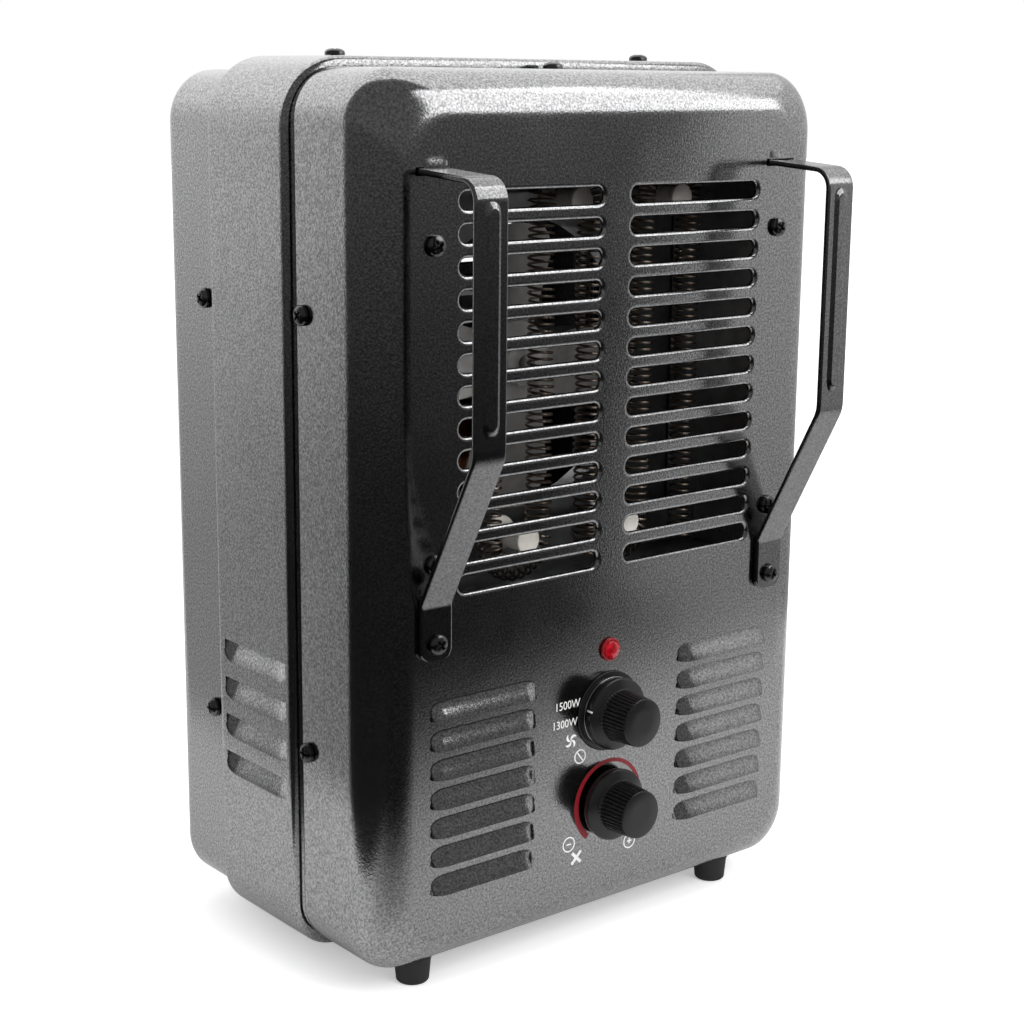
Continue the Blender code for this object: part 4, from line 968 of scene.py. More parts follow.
# ---- handles ---------------------------------------------------------------------------
@dataclass
class Handle:
    """A flat steel strap with a raised bead, hooked through the face and screwed to it at its foot."""

    side: Side
    x: float = 81.3
    width: float = 13.2
    thick: float = 2.0
    reach: float = 30.8
    tab_z: float = 291.3
    bend_z: float = 201.0
    crease_z: float = 146.5
    end_z: float = 127.3
    tip_radius: float = 3.4
    bead_height: float = 0.95
    bead_half: float = 2.7
    bead_z: tuple[float, float] = (282.0, 209.5)

    def path(self) -> Array:
        """The strap's middle line as (depth, z) points, from the hooked tab to the foot."""
        run = self.thick / 2 - self.reach
        foot = -0.3 - self.thick / 2
        corners = [(5.0, self.tab_z + 7.5, 0), (5.0, self.tab_z + 0.3, 2.0), (run, self.tab_z - 2.0, 7.0),
                   (run, self.bend_z, 12.0), (foot, self.crease_z, 5.0), (foot, self.end_z, 0)]
        line = filleted(corners, 1.0)
        tip = self.end_z + self.tip_radius * (1 - np.sin(np.linspace(0, math.pi / 2, 8)))
        line = line[(line[:, 1] > self.end_z + self.tip_radius) | (line[:, 0] < foot - 0.01)]
        return np.concatenate([line, np.stack([np.full(len(tip), foot), tip], -1)])

    def section(self) -> tuple[Array, Array]:
        """The strap's outline as (across, outward) points, and which of them are on its outer face."""
        half, out, small = self.width / 2, self.thick / 2, 0.6
        turn = np.linspace(0, math.pi / 2, 5)[1:-1]
        face = np.linspace(-half + small, half - small, 41)
        edge = half - small + small * np.sin(turn)
        drop = out - small + small * np.cos(turn)
        across = np.concatenate([face, edge, [half, half], edge[::-1], [half - small, -half + small],
                                 -edge, [-half, -half], -edge[::-1]])
        outward = np.concatenate([np.full(41, out), drop, [out - small, small - out], -drop[::-1], [-out, -out],
                                  -drop, [small - out, out - small], drop[::-1]])
        return np.stack([across, outward], -1), np.arange(len(across)) < 41

    def build(self) -> bpy.types.Object:
        """Carry the section along the path.

        The bead adds its height, eased over 1.2 mm, inside a stadium round the run's middle line.
        """
        line = self.path()
        section, is_face = self.section()
        heading = np.gradient(line, axis=0)
        heading /= np.linalg.norm(heading, axis=1)[:, None]
        outward = np.stack([heading[:, 1], -heading[:, 0]], -1)
        low = self.end_z + self.tip_radius
        drop = np.clip((low - line[:, 1]) / self.tip_radius, 0, 1)
        half = self.width / 2
        narrowed = 1 - self.tip_radius / half * (1 - np.sqrt(1 - drop ** 2))
        across = section[None, :, 0] * narrowed[:, None]
        top, bottom = self.bead_z[0] - self.bead_half, self.bead_z[1] + self.bead_half
        beyond = np.maximum(np.maximum(line[:, 1] - top, bottom - line[:, 1]), 0)
        on_run = np.abs(line[:, 0] - (self.thick / 2 - self.reach)) < 0.4
        away = np.hypot(across, beyond[:, None])
        raised = self.bead_height * smooth((self.bead_half + 0.6 - away) / 1.2) * on_run[:, None] * is_face
        out = section[None, :, 1] + raised
        depth = line[:, 0, None] + outward[:, 0, None] * out
        z = line[:, 1, None] + outward[:, 1, None] * out
        grid = np.stack([self.side.value * self.x + across, depth, z], axis=-1)
        plan = MeshPlan()
        plan.grid(grid, wrap_columns=True)
        plan.cap(grid[0])
        plan.cap(grid[-1])
        item = plan.piece(self.side.word + "_handle_strap", 50.0)
        wear(item, STRAP_ENAMEL, "root", [self.side.word + "_handle"])
        return item


# ---- fastenings, feet and grommet ----------------------------------------------------------
@dataclass
class Screw:
    """A pan-head screw with a cross recess."""

    node: str
    place: tuple[float, float, float]
    axis: tuple[float, float, float]
    radius: float = 3.6
    height: float = 2.4
    gap: float = 0.3
    turn: float = 0.0

    def build(self) -> bpy.types.Object:
        """Turn the head and sink a cross in it.

        The head's height over radius r is an ellipse's; the cross sinks by 1.2 mm where either arm's distance is small.
        """
        along = np.array(self.axis, float)
        side = np.array([1.0, 0.0, 0.0]) if abs(along[0]) < 0.9 else np.array([0.0, 1.0, 0.0])
        other = np.cross(along, side)
        angle = np.arange(48) * 2 * math.pi / 48
        share = np.concatenate([np.linspace(0.06, 0.66, 13), np.sin(np.linspace(0.8, math.pi / 2, 8))])
        r = share * self.radius
        rise = (self.height - 0.8) * np.sqrt(np.clip(1 - share ** 2.6, 0, 1)) + 0.8
        u = r[:, None] * np.cos(angle + self.turn)
        v = r[:, None] * np.sin(angle + self.turn)
        arm = 0.36 * self.radius / 3.6
        reach = 0.58 * self.radius
        first = smooth((arm + 0.25 - np.abs(u)) / 0.3) * smooth((reach - np.abs(v)) / 0.3)
        second = smooth((arm + 0.25 - np.abs(v)) / 0.3) * smooth((reach - np.abs(u)) / 0.3)
        level = self.gap + rise[:, None] - 1.25 * np.maximum(first, second)
        middle = np.array(self.place, float)
        arms = np.cos(angle)[:, None] * side + np.sin(angle)[:, None] * other
        head = middle + r[:, None, None] * arms + level[..., None] * along
        under = [(self.radius, self.gap), (1.45, self.gap), (1.45, self.gap - 7.0), (0.3, self.gap - 8.0)]
        rest = [middle + radius * arms + rise_at * along for radius, rise_at in under]
        plan = MeshPlan()
        plan.grid(np.concatenate([head, np.stack(rest)]), wrap_columns=True)
        plan.fan(head[0], middle + along * level[0].mean())
        plan.cap(rest[-1])
        item = plan.piece(self.node + "_head", 48.0)
        wear(item, SCREW_STEEL, "root", [self.node])
        return item


@dataclass
class Fastenings:
    """Every screw of the case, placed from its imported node."""

    def build(self) -> None:
        """Make a detailed screw where each screw node is."""
        for number, node in enumerate(sorted(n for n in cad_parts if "screw" in n)):
            low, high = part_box(node)
            middle = (np.array(low) + np.array(high)) / 2 / MM
            middle[1] -= FACE_Y / MM
            size = np.array(high - low)
            axis = np.zeros(3)
            longest = int(size.argmax())
            axis[longest] = {0: math.copysign(1, middle[0]), 1: -1.0, 2: 1.0}[longest]
            head_end = (np.array(high) if axis[longest] > 0 else np.array(low))[longest] / MM
            if longest == 1:
                head_end -= FACE_Y / MM
            middle[longest] = head_end - axis[longest] * 2.7
            Screw(node, tuple(middle), tuple(axis), turn=0.4 + 1.1 * number).build()


@dataclass
class Feet:
    """Four tapered rubber feet."""

    top_radius: float = 7.2
    bottom_radius: float = 6.1

    def build(self) -> None:
        """Turn each foot: a rounded lower edge, a tapered wall and a thin collar under the case."""
        for node in (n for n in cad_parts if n.startswith("foot_")):
            low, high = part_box(node)
            middle = (np.array(low) + np.array(high)) / 2 / MM
            top = (high.z - low.z) / MM
            turn = np.linspace(0, math.pi / 2, 6)
            rounded = [(self.bottom_radius - 1.2 + 1.2 * math.sin(t), 1.2 - 1.2 * math.cos(t)) for t in turn]
            profile = [(0, 0.35), (2.6, 0.35), (3.0, 0.0)] + rounded
            profile += [(self.top_radius - 0.35, top - 1.6), (self.top_radius, top - 1.3),
                        (self.top_radius, top - 0.2), (self.top_radius - 0.2, top), (0, top)]
            plan = turned(profile, 48, (middle[0], middle[1] - FACE_Y / MM, 0.0), (0, 0, 1))
            wear(plan.piece(node + "_rubber"), RUBBER, "root", [node])


@dataclass
class Grommet:
    """The bush in the rear wall that a cord would leave through."""

    x: float = 62.0
    z: float = 36.0
    bore: float = 3.8

    def build(self) -> None:
        """Turn the flange and its neck, with rounded edges."""
        profile = [(self.bore, -6.0), (8.2, -6.0), (8.6, -1.4), (7.1, -1.3), (7.1, 0.3), (10.0, 0.3), (10.0, 1.6),
                   (9.6, 2.2), (8.8, 2.7), (7.0, 3.0), (5.0, 3.0), (4.2, 2.6), (self.bore, 2.0)]
        plan = turned(profile, 48, (self.x, REAR_END, self.z), (0, 1, 0))
        wear(plan.piece("grommet_bush", 30.0), BLACK, "root", ["cord_grommet"])


# ---- controls ----------------------------------------------------------------------------
@dataclass
class Knob:
    """A knob with a smooth skirt and a finely fluted grip."""

    node: str
    body: str
    z: float
    pointer: float
    flutes: int = 40
    flute_depth: float = 0.62

    def profile(self) -> list[tuple[float, float]]:
        """(radius, distance ahead of the face) from the front disc back to the bore."""
        grip = [(9.1 + 0.65 * t, 18.2 - 11.0 * t) for t in np.linspace(0, 1, 12)]
        return ([(0, 19.0), (4.0, 19.0), (8.55, 19.0), (8.85, 18.9), (9.0, 18.65)] + grip
                + [(9.85, 7.05), (10.2, 6.95), (12.9, 6.1), (13.4, 5.85), (13.65, 5.5), (13.7, 5.2), (13.25, 2.6),
                   (13.05, 2.3), (12.7, 2.2), (12.0, 2.2), (11.8, 2.4), (11.8, 3.6), (3.3, 3.6), (3.3, 15.0),
                   (0, 15.0)])

    def swell(self, rows: Array, angle: Array) -> Array:
        """Flutes: the radius dips by flute_depth times 1 - |sin(n a / 2)|^0.8 and fades at both ends of the grip."""
        ahead = rows[:, 1, None]
        on_grip = smooth((18.6 - ahead) / 0.3) * smooth((ahead - 6.9) / 0.8) * (rows[:, 0, None] > 8)
        ridge = np.abs(np.sin(angle * self.flutes / 2)) ** 0.8
        return -self.flute_depth * (1 - ridge) * on_grip

    def build(self) -> None:
        """Turn the knob and lay its pointer on the skirt's wall and over its edge."""
        plan = turned(self.profile(), self.flutes * 8, (0.0, 0.0, self.z), (0, -1, 0), self.swell)
        wear(plan.piece(self.node + "_moulding", 42.0), KNOB_BLACK, self.body, [self.node])
        angle = math.radians(self.pointer)
        radial = np.array([math.cos(angle), 0.0, math.sin(angle)])
        cross = np.array([-math.sin(angle), 0.0, math.cos(angle)])
        line = np.array([(13.33, 2.9), (13.73, 5.2), (13.68, 5.52), (13.42, 5.89)])
        rows = []
        for side, lift in ((-1, 0.03), (1, 0.03), (1, -0.3), (-1, -0.3)):
            point = (line[:, :1] + lift) * radial + side * 0.33 * cross - (line[:, 1:] + lift) * np.array([0, 1.0, 0])
            rows.append(point + np.array([0, 0, self.z]))
        grid = np.stack(rows, axis=1)
        plan = MeshPlan()
        plan.grid(grid, wrap_columns=True)
        plan.cap(grid[0])
        plan.cap(grid[-1])
        wear(plan.piece(self.node + "_pointer"), WHITE_INK, self.body)


@dataclass
class Bezel:
    """The ring behind the upper knob: a dark flange on the face and a bright wall."""

    z: float = 92.3

    def build(self) -> None:
        """Turn the flange and the wall that stands on it, both with rounded edges."""
        turn = np.linspace(0, math.pi / 2, 6)
        rounded = [(14.8 + 0.4 * math.sin(t), 0.35 + 0.4 * math.cos(t)) for t in turn]
        flange = [(5.0, 0.3), (5.0, 0.75)] + rounded + [(15.2, 0.3)]
        wear(turned(flange, 96, (0.0, 0.0, self.z), (0, -1, 0)).piece("bezel_flange"), KNOB_BLACK, "root",
             ["selector_bezel"])
        rounded = [(13.1 + 0.25 * math.sin(t), 1.75 + 0.25 * math.cos(t)) for t in turn]
        wall = [(12.5, 0.78), (12.5, 1.9), (12.6, 2.0)] + rounded + [(13.35, 0.78)]
        wear(turned(wall, 96, (0.0, 0.0, self.z), (0, -1, 0)).piece("bezel_wall"), CHROME, "root")


@dataclass
class Jewel:
    """The red lens: a faceted cap in a smooth collar."""

    z: float = 116.0
    facets: int = 10

    def build(self) -> None:
        """Turn the collar smoothly; the cap's rings are polygons turned half a facet from each other."""
        stem = [(4.4, 0.3), (3.4, 0.3), (3.4, -9.0), (2.4, -9.0), (2.4, 0.8), (3.4, 1.0), (3.8, 1.4),
                (4.2, 1.3), (4.4, 0.9)]
        wear(turned(stem, 40, (0.0, 0.0, self.z), (0, -1, 0)).piece("lens_collar"), LENS_RIM, "root")
        rings = [(3.65, 1.25, 0.0), (3.2, 2.1, 0.5), (2.1, 2.8, 0.0), (0.9, 3.1, 0.5)]
        plan = MeshPlan()
        rows = []
        for radius, ahead, shift in rings:
            angle = (np.arange(self.facets) + shift) * 2 * math.pi / self.facets
            rows.append(np.stack([radius * np.cos(angle), np.full(self.facets, -ahead),
                                  self.z + radius * np.sin(angle)], -1))
        plan.grid(np.stack(rows), wrap_columns=True)
        plan.fan(rows[-1], (0.0, -3.1, self.z))
        plan.fan(rows[0], (0.0, -1.0, self.z))
        wear(plan.piece("lens_jewel", 8.0), JEWEL, "root", ["indicator_lens"])


@dataclass
class DialPrint:
    """Printed marks round the knobs, as thin inked shapes on the face."""

    lift: float = 0.06
    gap: float = 0.01
    thermostat_z: float = 56.9

    def slab(self, name: str, outlines: Sequence[Array], finish: Finish) -> None:
        """Make flat shapes from closed outlines of (x, z) points, the first outer and the rest holes, per group."""
        plan = MeshPlan()
        front, back = upright(-self.lift), upright(-self.gap)
        for group in outlines:
            loops = [group] if isinstance(group, np.ndarray) else list(group)
            plan.patch(loops, front)
            plan.patch(loops, back)
            for loop in loops:
                plan.grid(np.stack([front(loop), back(loop)]), wrap_columns=True)
        wear(plan.piece(name), finish, "root")

    @staticmethod
    def circle(x: float, z: float, radius: float, steps: int = 36) -> Array:
        """A circle as (x, z) points."""
        angle = np.arange(steps) * 2 * math.pi / steps
        return np.stack([x + radius * np.cos(angle), z + radius * np.sin(angle)], -1)

    @staticmethod
    def stand(shape: Array, x: float, z: float, turn: float) -> Array:
        """Turn a shape of (x, z) points by some degrees and move its middle to a place."""
        c, s = math.cos(math.radians(turn)), math.sin(math.radians(turn))
        return shape @ np.array([[c, s], [-s, c]]) + np.array([x, z])

    @staticmethod
    def bar(x: float, z: float, length: float, width: float, turn: float) -> Array:
        """A short straight stroke as (x, z) points."""
        corners = np.array([(-1, -1), (1, -1), (1, 1), (-1, 1)]) * np.array([length / 2, width / 2])
        return DialPrint.stand(corners, x, z, turn)

    @staticmethod
    def cross(x: float, z: float, long: float, short: float, width: float, turn: float) -> Array:
        """Two strokes at a right angle as one outline of twelve (x, z) points."""
        w = width / 2
        shape = np.array([(long / 2, -w), (long / 2, w), (w, w), (w, short / 2), (-w, short / 2), (-w, w),
                          (-long / 2, w), (-long / 2, -w), (-w, -w), (-w, -short / 2), (w, -short / 2), (w, -w)])
        return DialPrint.stand(shape, x, z, turn)

    def words(self, name: str, text: str, x0: float, x1: float, z0: float, z1: float) -> None:
        """Set a dial's figures in a plain face and lay them on the case.

        Args:
            name: the piece's name.
            text: the figures.
            x0, x1: the left and right ends of the word.
            z0, z1: the feet and the tops of the figures.
        """
        curve = bpy.data.curves.new(name, "FONT")
        curve.body = text
        curve.extrude = 0.5
        curve.resolution_u = 6
        holder = bpy.data.objects.new(name + "_text", curve)
        bpy.context.scene.collection.objects.link(holder)
        bpy.context.view_layer.update()
        mesh = bpy.data.meshes.new_from_object(holder)
        bpy.data.objects.remove(holder)
        raw = np.zeros(len(mesh.vertices) * 3)
        mesh.vertices.foreach_get("co", raw)
        raw = raw.reshape(-1, 3)
        share = (raw - raw.min(0)) / (raw.max(0) - raw.min(0))
        low = np.array([x0, -self.gap, z0])
        points = low + np.stack([share[:, 0], share[:, 2], share[:, 1]], -1) * np.array(
            [x1 - x0, self.gap - self.lift, z1 - z0])
        mesh.vertices.foreach_set("co", placed(points).ravel())
        bm = bmesh.new()
        bm.from_mesh(mesh)
        bmesh.ops.remove_doubles(bm, verts=bm.verts, dist=0.002 * MM)
        bmesh.ops.recalc_face_normals(bm, faces=bm.faces)
        bm.to_mesh(mesh)
        bm.free()
        mesh.name = name
        item = bpy.data.objects.new(name, mesh)
        bpy.context.scene.collection.objects.link(item)
        wear(item, WHITE_INK, "root")

    @staticmethod
    def hook(x: float, z: float, size: float, turn: float, width: float = 0.95) -> Array:
        """One swirling blade: an arc of a circle through the hub, thickest at its middle."""
        t = np.linspace(0, 1, 12)
        angle = math.pi * (0.95 - 0.75 * t)
        middle = np.stack([size * 0.5 * (1 + np.cos(angle)), size * 0.5 * np.sin(angle)], -1)
        outward = np.stack([np.cos(angle), np.sin(angle)], -1)
        half = (width / 2 * np.sin(math.pi * (0.12 + 0.8 * t)))[:, None]
        shape = np.concatenate([middle + half * outward, (middle - half * outward)[::-1]])
        return DialPrint.stand(shape, x, z, turn)

    def build(self) -> None:
        """Print the selector's figures and signs, and the thermostat's crescent and signs."""
        self.words("mark_high_power", "1500W", -25.3, -13.9, 96.8, 99.9)
        self.words("mark_low_power", "1300W", -26.5, -15.1, 89.9, 92.9)
        self.slab("mark_fan_only", [self.hook(-18.1, 84.2, 3.0, 90 * k + 10) for k in range(4)], WHITE_INK)
        ring = [self.circle(-13.5, 77.2, 2.8), self.circle(-13.5, 77.2, 2.3)]
        self.slab("mark_off", [ring, self.bar(-13.5, 77.2, 4.8, 0.5, -52)], WHITE_INK)
        ring = [self.circle(-18.3, 43.8, 3.0), self.circle(-18.3, 43.8, 2.5)]
        self.slab("mark_less", [ring, self.bar(-18.3, 43.8, 2.2, 0.5, 0)], WHITE_INK)
        ring = [self.circle(12.2, 37.8, 3.0), self.circle(12.2, 37.8, 2.5)]
        self.slab("mark_more", [ring, self.cross(12.2, 37.8, 2.3, 2.3, 0.5, 0)], WHITE_INK)
        self.slab("mark_fan", [self.cross(-14.5, 37.8, 6.4, 6.0, 1.2, 45)], WHITE_INK)
        self.slab("mark_crescent", [self.crescent()], RED_INK)

    def crescent(self) -> Array:
        """A band round the thermostat knob, from the lower left over the top to the right, widest at its left."""
        angle = np.radians(np.linspace(230, -4, 72))
        share = np.linspace(0, 1, 72)
        outer = 16.7
        inner = outer - 2.4 + 0.9 * smooth(share * 1.6)
        middle = np.array([0.8, self.thermostat_z - 0.3])
        way = np.stack([np.cos(angle), np.sin(angle)], -1)
        return np.concatenate([middle + outer * way, (middle + inner[:, None] * way)[::-1]])


# ---- inside the grille ------------------------------------------------------------------------
@dataclass
class Element:
    """A coil of resistance wire that hangs in vertical runs on ceramic insulators."""

    side: Side
    first_x: float
    step: float = 23.0
    depth: float = 21.0
    radius: float = 4.5
    wire: float = 0.5
    pitch: float = 2.5
    top_end: float = 288.0
    bottom_end: float = 147.0
    turn_top: float = 278.7
    turn_bottom: float = 158.8

    def line(self) -> Array:
        """The coil's middle line as (x, z) points.

        The left one runs down, round below, up, round above and down. The right one starts below and runs up, round
        above and down.
        """
        half = self.step / 2
        x0 = self.first_x
        left = self.side is Side.LEFT
        up = x0 + 2 * half if left else x0
        sweep = np.linspace(0 if left else math.pi / 2, math.pi, 25)
        lower = np.stack([up - half - half * np.cos(sweep), self.turn_bottom - half * np.sin(sweep)], -1)
        sweep = np.linspace(0, math.pi, 25)
        upper = np.stack([up + half - half * np.cos(sweep), self.turn_top + half * np.sin(sweep)], -1)
        first = [np.array([(x0, self.top_end)])] if left else []
        return np.concatenate(first + [lower, upper, np.array([(up + 2 * half, self.bottom_end)])])

    def build(self) -> None:
        """Wind the wire.

        A point of the wire's middle is the line's point, plus radius times (cos a) across the line and (sin a) back,
        where a grows by a full turn each pitch. The wire itself is a tube of six sides round that.
        """
        line = self.line()
        lengths = np.concatenate([[0], np.cumsum(np.linalg.norm(np.diff(line, axis=0), axis=1))])
        turns = lengths[-1] / self.pitch
        count = int(turns * 15)
        s = np.linspace(0, lengths[-1], count)
        x = np.interp(s, lengths, line[:, 0])
        z = np.interp(s, lengths, line[:, 1])
        heading = np.gradient(np.stack([x, z], -1), axis=0)
        heading /= np.linalg.norm(heading, axis=1)[:, None]
        a = s / self.pitch * 2 * math.pi
        wander = 0.25 * np.sin(s * 0.21) + 0.18 * np.sin(s * 0.083 + 1.0)
        radius = self.radius + 0.12 * np.sin(s * 0.4)
        middle = np.stack([x - heading[:, 1] * radius * np.cos(a) + wander, self.depth + radius * np.sin(a),
                           z + heading[:, 0] * radius * np.cos(a)], -1)
        tangent = np.gradient(middle, axis=0)
        tangent /= np.linalg.norm(tangent, axis=1)[:, None]
        core = np.stack([x + wander, np.full_like(x, self.depth), z], -1)
        radial = middle - core
        radial -= (radial * tangent).sum(1)[:, None] * tangent
        radial /= np.linalg.norm(radial, axis=1)[:, None]
        binormal = np.cross(tangent, radial)
        turn = np.arange(6) * 2 * math.pi / 6
        section = np.cos(turn)[:, None] * radial[:, None] + np.sin(turn)[:, None] * binormal[:, None]
        tube = middle[:, None] + self.wire * section
        plan = MeshPlan()
        plan.grid(tube, wrap_columns=True)
        plan.cap(tube[0])
        plan.cap(tube[-1])
        node = "heating_coil_" + self.side.word
        wear(plan.piece("wound_" + node), WIRE, "root", [node])


@dataclass
class Insulators:
    """Ceramic spools that the coils turn round, and posts on the partition."""

    def build(self) -> None:
        """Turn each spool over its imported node, with rounded flanges."""
        for node in (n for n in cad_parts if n.startswith("insulator_")):
            low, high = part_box(node)
            middle = (np.array(low) + np.array(high)) / 2 / MM
            start = low.y / MM - FACE_Y / MM
            profile = [(0, 0.0), (4.4, 0.0), (4.9, 0.4), (5.0, 1.0), (4.9, 1.9), (4.6, 2.7), (4.5, 3.4), (4.5, 9.0),
                       (4.6, 14.6), (5.2, 15.3), (6.3, 16.1), (6.5, 17.0), (6.4, 17.6), (5.9, 18.0), (0, 18.0)]
            plan = turned(profile, 40, (middle[0], start, middle[2]), (0, 1, 0))
            # The upper spools wear the darker steatite copy, which is painted shade.
            wear(plan.piece(node + "_spool"), SHADED_STEATITE if "top" in node else STEATITE, "root", [node])


@dataclass
class Fan:
    """A four-bladed pressed aluminium fan."""

    z: float = 216.2
    tip: float = 52.0
    root: float = 9.0
    blades: int = 4
    first: float = -95.0
    depth: float = 56.5

    def build(self) -> None:
        """Press the blades and turn the hub.

        A blade's chord grows from 26 to 42 mm and its pitch falls from 42 to 26 degrees from root to tip; its
        outer corners are rounded and it is bowed by 2 mm.
        """
        radial = np.linspace(0, 1, 26)[:, None]
        across = np.linspace(-0.5, 0.5, 21)[None, :]
        radius = self.root + (self.tip - self.root) * radial
        corner = np.sqrt(np.clip(1 - ((radial - 0.8) / 0.25) ** 2, 0, 1))
        chord = (26 + 16 * radial) * np.where(radial > 0.8, corner, 1.0)
        pitch = np.radians(42 - 16 * radial)
        along = across * chord
        base = self.depth - along * np.sin(pitch) * 0.42 + 2.0 * (1 - (2 * across) ** 2)
        plan = MeshPlan()
        for number in range(self.blades):
            theta = math.radians(self.first) + number * 2 * math.pi / self.blades + along * np.cos(pitch) / radius
            faces = [np.stack([radius * np.cos(theta), base + lift, self.z + radius * np.sin(theta)], -1)
                     for lift in (0.4, -0.4)]
            rim = [np.concatenate([f[0], f[1:, -1], f[-1, -2::-1], f[-2:0:-1, 0]]) for f in faces]
            plan.grid(faces[0])
            plan.grid(faces[1])
            plan.grid(np.stack(rim), wrap_columns=True)
        item = plan.piece("fan_blades_pressed", 35.0)
        wear(item, ALUMINIUM, "fan")
        hub = [(2.8, 50.5), (8.4, 50.5), (9.0, 51.1), (9.0, 55.0), (15.4, 55.2), (16.0, 55.8), (15.6, 56.6),
               (9.6, 57.8), (9.0, 58.6), (9.0, 62.0), (8.5, 62.5), (2.8, 62.5)]
        plan = turned(hub, 48, (0.0, 0.0, self.z), (0, 1, 0))
        wear(plan.piece("fan_hub_turned"), ALUMINIUM, "fan", ["fan_blade"])


CARRIED: dict[str, Finish] = {
    "partition_plate": ZINC, "heat_baffle": ZINC, "element_rail_top": ZINC, "element_rail_bottom": ZINC,
    "fan_shroud": ZINC, "motor_rotor": ZINC, "motor_yoke": ZINC, "motor_bearing_plate": ZINC,
    "motor_stator": LAMINATION, "motor_coil": COPPER, "thermal_cutout": PHENOLIC, "tip_switch_frame": PHENOLIC,
    "tip_pendulum": ZINC, "terminal_block": STEATITE, "selector_switch": PHENOLIC, "thermostat": STEATITE,
    "selector_shaft": ZINC, "thermostat_shaft": ZINC, "indicator_lamp": LAMP_GLASS,
}


def dress_packed() -> None:
    """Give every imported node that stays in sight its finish."""
    for node, finish in CARRIED.items():
        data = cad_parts[node].data
        data.materials.clear()
        data.materials.append(finish.material())
        LOG.info("packed node %s wears %s", node, finish.name)


